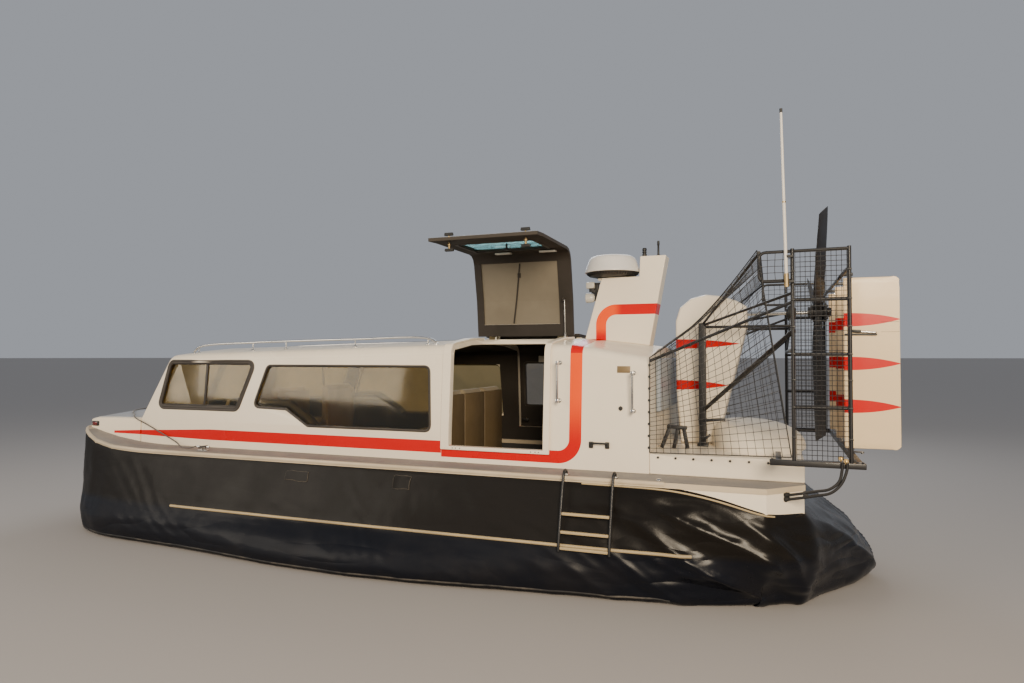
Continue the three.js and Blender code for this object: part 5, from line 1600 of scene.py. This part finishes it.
def make_hoses():
    runs = []
    for drop in (0.0, 0.030):
        route = [at(*place) for place in (
            (0.128, 1.120, 0.820 - drop), (0.035, 1.172, 0.848 - drop), (-0.059, 1.207, 0.876 - drop),
            (-0.140 - drop / 3, 1.230, 0.900 - drop * 0.8), (-0.200 - drop / 2, 1.230, 0.955 - drop * 0.4),
            (-0.220 - drop, 1.226, 1.040), (-0.222 - drop, 1.228, 1.085))]
        runs.append((0.010, bend_through(route)))
    tubes("steering_hose_pair", runs, "hose_black", stands_for="steering_hoses")
    fittings = bmesh.new()
    add_block(fittings, at(-0.010, 1.163, 0.818), at(0.025, 1.190, 0.866), 0.006)
    for up in (0.820, 0.790):
        add_rod(fittings, at(0.1365, 1.1118, up), at(0.112, 1.130, up + 0.008), 0.021, 24, 0.0135)
    finish_piece("steering_hose_fittings", fittings, "trim_black")
    pulleys = bmesh.new()
    for centre in (at(-0.245, 1.222, 1.096), at(-0.215, 1.205, 1.110)):
        add_turned(pulleys, PULLEY, centre, "Y", 20)
        add_block(pulleys, centre - Vector((0.006, 0.010, 0.024)), centre + Vector((0.006, 0.010, 0.004)),
                  0.002)
    finish_piece("steering_pulleys", pulleys, "brass_worn")


def make_antenna():
    foot, tip = at(0.118, 1.222, 2.290), at(0.146, 1.222, 3.550)
    along = tip - foot
    places = [foot + along * share for share in (0.0, 0.09, 0.47, 0.475, 0.985)]
    tubes("antenna_whip", [((0.0115, 0.0115, 0.0112, 0.0100, 0.0085), places)], "antenna_cream",
          stands_for="antenna")
    sleeves = bmesh.new()
    for share, reach, radius in ((0.0, 0.075, 0.0165), (0.470, 0.008, 0.0130)):
        add_stud(sleeves, foot + along * share, along * reach, radius, 20)
    finish_piece("antenna_sleeve", sleeves, "brass_worn")
    caps = bmesh.new()
    add_rod(caps, foot + along * 0.978, tip, 0.0105, 20)
    for share in (0.03, 0.17):
        spot = foot + along * share
        add_block(caps, spot - Vector((0.050, 0.018, 0.009)), spot + Vector((0.004, 0.010, 0.009)), 0.003)
    finish_piece("antenna_clamps", caps, "trim_black")


for side_name, side in SIDES:
    make_roof_rail(side_name, side)
    for row in GRAB_RAILS:
        make_grab_rail(*row, side_name, side)
make_ladder()
make_hoses()
make_antenna()


# Small fittings on the side and the deck

LAMP_GLASS = {"port": "lamp_red", "starboard": "lamp_green"}


def on_side(forward, up, proud=0.0):
    """A place on the port side's wall, or proud of it."""
    return at(forward, side_at(max(forward, 1.95), up) + proud, up)


def make_side_fittings(side_name, side):
    handle = bmesh.new()
    add_stud(handle, on_side(1.360, 1.386), Vector((0, 0.008, 0)), 0.017, 24)
    add_beam(handle, on_side(1.360, 1.366, 0.010), on_side(1.360, 1.406, 0.010), 0.008, 0.006)
    for forward in (1.466, 1.599):
        add_block(handle, on_side(forward - 0.017, 1.060, -0.004), on_side(forward + 0.017, 1.112, 0.016))
        add_beam(handle, on_side(forward, 1.100, 0.008), on_side(forward, 1.104, 0.036), 0.018, 0.014, 0.004)
    add_beam(handle, on_side(1.458, 1.104, 0.034), on_side(1.607, 1.104, 0.034), 0.018, 0.014, 0.005)
    screws = bmesh.new()
    for forward in (2.045, 2.075, 2.115, 2.77, 2.81, 2.84):
        add_stud(screws, on_side(forward, 1.004, 0.018), Vector((0, 0.006, 0)), 0.006, 12)
    if side < 0:
        mirrored(handle)
        mirrored(screws)
    finish_piece(f"side_handle_{side_name}", handle, "trim_black")
    finish_piece(f"sill_screws_{side_name}", screws, "steel_bright")


def make_bow_lamp(side_name, side):
    there = on_side_of(side)
    for name, one, other, ease, finish in (
            ("case", (7.116, 0.940, 1.046), (7.208, 0.966, 1.100), 0.008, "trim_black"),
            ("lens", (7.130, 0.955, 1.056), (7.194, 0.970, 1.090), 0.005, LAMP_GLASS[side_name])):
        shape = bmesh.new()
        add_block(shape, there(*one), there(*other), ease)
        finish_piece(f"bow_lamp_{name}_{side_name}", shape, finish)


def make_single_fittings():
    plate = bmesh.new()
    low, high = on_side(1.286, 1.672), on_side(1.392, 1.726)
    low.y, high.y = high.y - 0.004, low.y + 0.004
    add_block(plate, low, high, 0.002, turn_of(4.2, "X"))
    finish_piece("side_plate", plate, "plate_brown")
    cap = bmesh.new()
    add_turned(cap, ((0.0, 0.010), (0.014, 0.010), (0.020, 0.004), (0.022, -0.001)), at(1.02, 1.15, 0.877),
               steps=24)
    finish_piece("deck_fitting", cap, "steel_bright")


make_single_fittings()
for side_name, side in SIDES:
    make_side_fittings(side_name, side)
    make_bow_lamp(side_name, side)


# Inside the cabin

# Name, hip point forward, middles of the places, stretch across and the node that it stands for
SEATS = (("front_seat", 5.050, (0.420, -0.420), 1.05, "front_seats"),
         ("bench", 3.150, (0.495, 0.0, -0.495), 1.00, "bench_rear"))
SEAT_HALF, SEAT_FLOOR = 0.245, 0.6405
PAD_CROWN, PAD_VOXEL, PAD_EASE = 0.014, 0.016, 0.32
PAD_PRESSURE, PAD_FRAMES = 4.0, 20
WHEEL_RADIUS, WHEEL_STEPS = 0.165, 40


def baked(holder):
    shape = bmesh.new()
    shape.from_object(holder, bpy.context.evaluated_depsgraph_get())
    return shape


def soft_block(half):
    shape = bmesh.new()
    add_block(shape, -half, half, min(half * 2) * PAD_EASE)
    pad = add_object("pad", bpy.data.meshes.new("pad"))
    shape.to_mesh(pad.data)
    shape.free()
    remesh = pad.modifiers.new("remesh", "REMESH")
    remesh.mode = "VOXEL"
    remesh.voxel_size = PAD_VOXEL
    before = baked(pad)
    cloth = pad.modifiers.new("cloth", "CLOTH")
    cloth.settings.use_pressure = True
    cloth.settings.uniform_pressure_force = PAD_PRESSURE
    cloth.settings.effector_weights.gravity = 0.0
    for frame_number in range(PAD_FRAMES):
        bpy.context.scene.frame_set(frame_number + 1)
    after = baked(pad)
    for rest, moved in zip(before.verts, after.verts):
        step = moved.co - rest.co
        if step.length > PAD_CROWN:
            moved.co = rest.co + step.normalized() * PAD_CROWN
    before.free()
    before = after
    bpy.data.objects.remove(pad)
    return before


def make_seats():
    cushion, back = (soft_block(Vector(half)) for half in ((0.225, 0.235, 0.045), (0.040, 0.235, 0.215)))
    for name, hip, lefts, stretch, node in SEATS:
        pads = bmesh.new()
        widen = Matrix.Diagonal((1.0, stretch, 1.0, 1.0))
        for pad, forward, up in ((cushion, 0.252, 1.012), (back, -0.045, 1.275)):
            places = [at(hip + forward, left, up) for left in lefts]
            add_copies(pads, pad, [Matrix.Translation(place) @ widen for place in places])
        piece = finish_piece(f"{name}_pads", pads, "seat_cloth", stands_for=node, sharp=180.0, weld=False)
        smooth = piece.modifiers.new("smooth", "SUBSURF")
        smooth.levels = smooth.render_levels = 1

        base = bmesh.new()
        for left in lefts:
            for aft, fore, inset, top, ease in ((0.012, 0.475, 0.030, 0.960, 0.020),
                                                (-0.118, -0.080, 0.000, 1.440, 0.016),
                                                (-0.090, 0.020, 0.020, 0.960, 0.012)):
                half = SEAT_HALF * stretch - inset
                low, high = at(hip + aft, left - half, SEAT_FLOOR), at(hip + fore, left + half, top)
                add_block(base, low, high, ease)
        finish_piece(f"{name}_bases", base, "panel_brown")
    cushion.free()
    back.free()


def make_helm():
    eased("dashboard", "trim_black", width=0.02, segments=4)
    centre = at(5.735, 0.420, 1.135)
    tilt = turn_of(62, "Y")
    rim = [centre + tilt @ turn_of(360 * index / WHEEL_STEPS, "Z") @ Vector((WHEEL_RADIUS, 0, 0))
           for index in range(WHEEL_STEPS + 1)]
    runs = [(0.012, rim)]
    runs += [(0.008, [centre - tilt @ UP * 0.02, rim[index]]) for index in (0, 13, 27)]
    runs.append((0.020, [centre - tilt @ UP * 0.10, centre + tilt @ UP * 0.006]))
    tubes("steering_wheel", runs, "trim_black", roundness=2)
    screens = bmesh.new()
    for left, half in ((0.42, 0.14), (0.02, 0.17)):
        low, high = at(5.985, left - half, 1.185), at(6.030, left + half, 1.330)
        add_block(screens, low, high, 0.010, turn_of(-18, "Y"))
    finish_piece("helm_screens", screens, "screen_dark")


make_seats()
make_helm()


# Materials of the CAD nodes that stay

KEPT = {
    "glass_tan": ("window_front_port", "window_front_starboard", "window_long_port", "window_long_starboard",
                  "windscreen"),
    "glass_teal": ("door_window_port",),
    "glass_grey": ("door_window_starboard",),
    # The door roof panels take the blind beige darkened with painted shade.
    "blind_beige_painted_shade": ("door_roof_panel_port", "door_roof_panel_starboard"),
    "steel_bright": ("strut_barrel_port", "strut_barrel_starboard", "strut_rod_port", "strut_rod_starboard"),
}
for finish, names in KEPT.items():
    for name in names:
        NODES[name].data.materials.clear()
        NODES[name].data.materials.append(MATERIALS[finish])
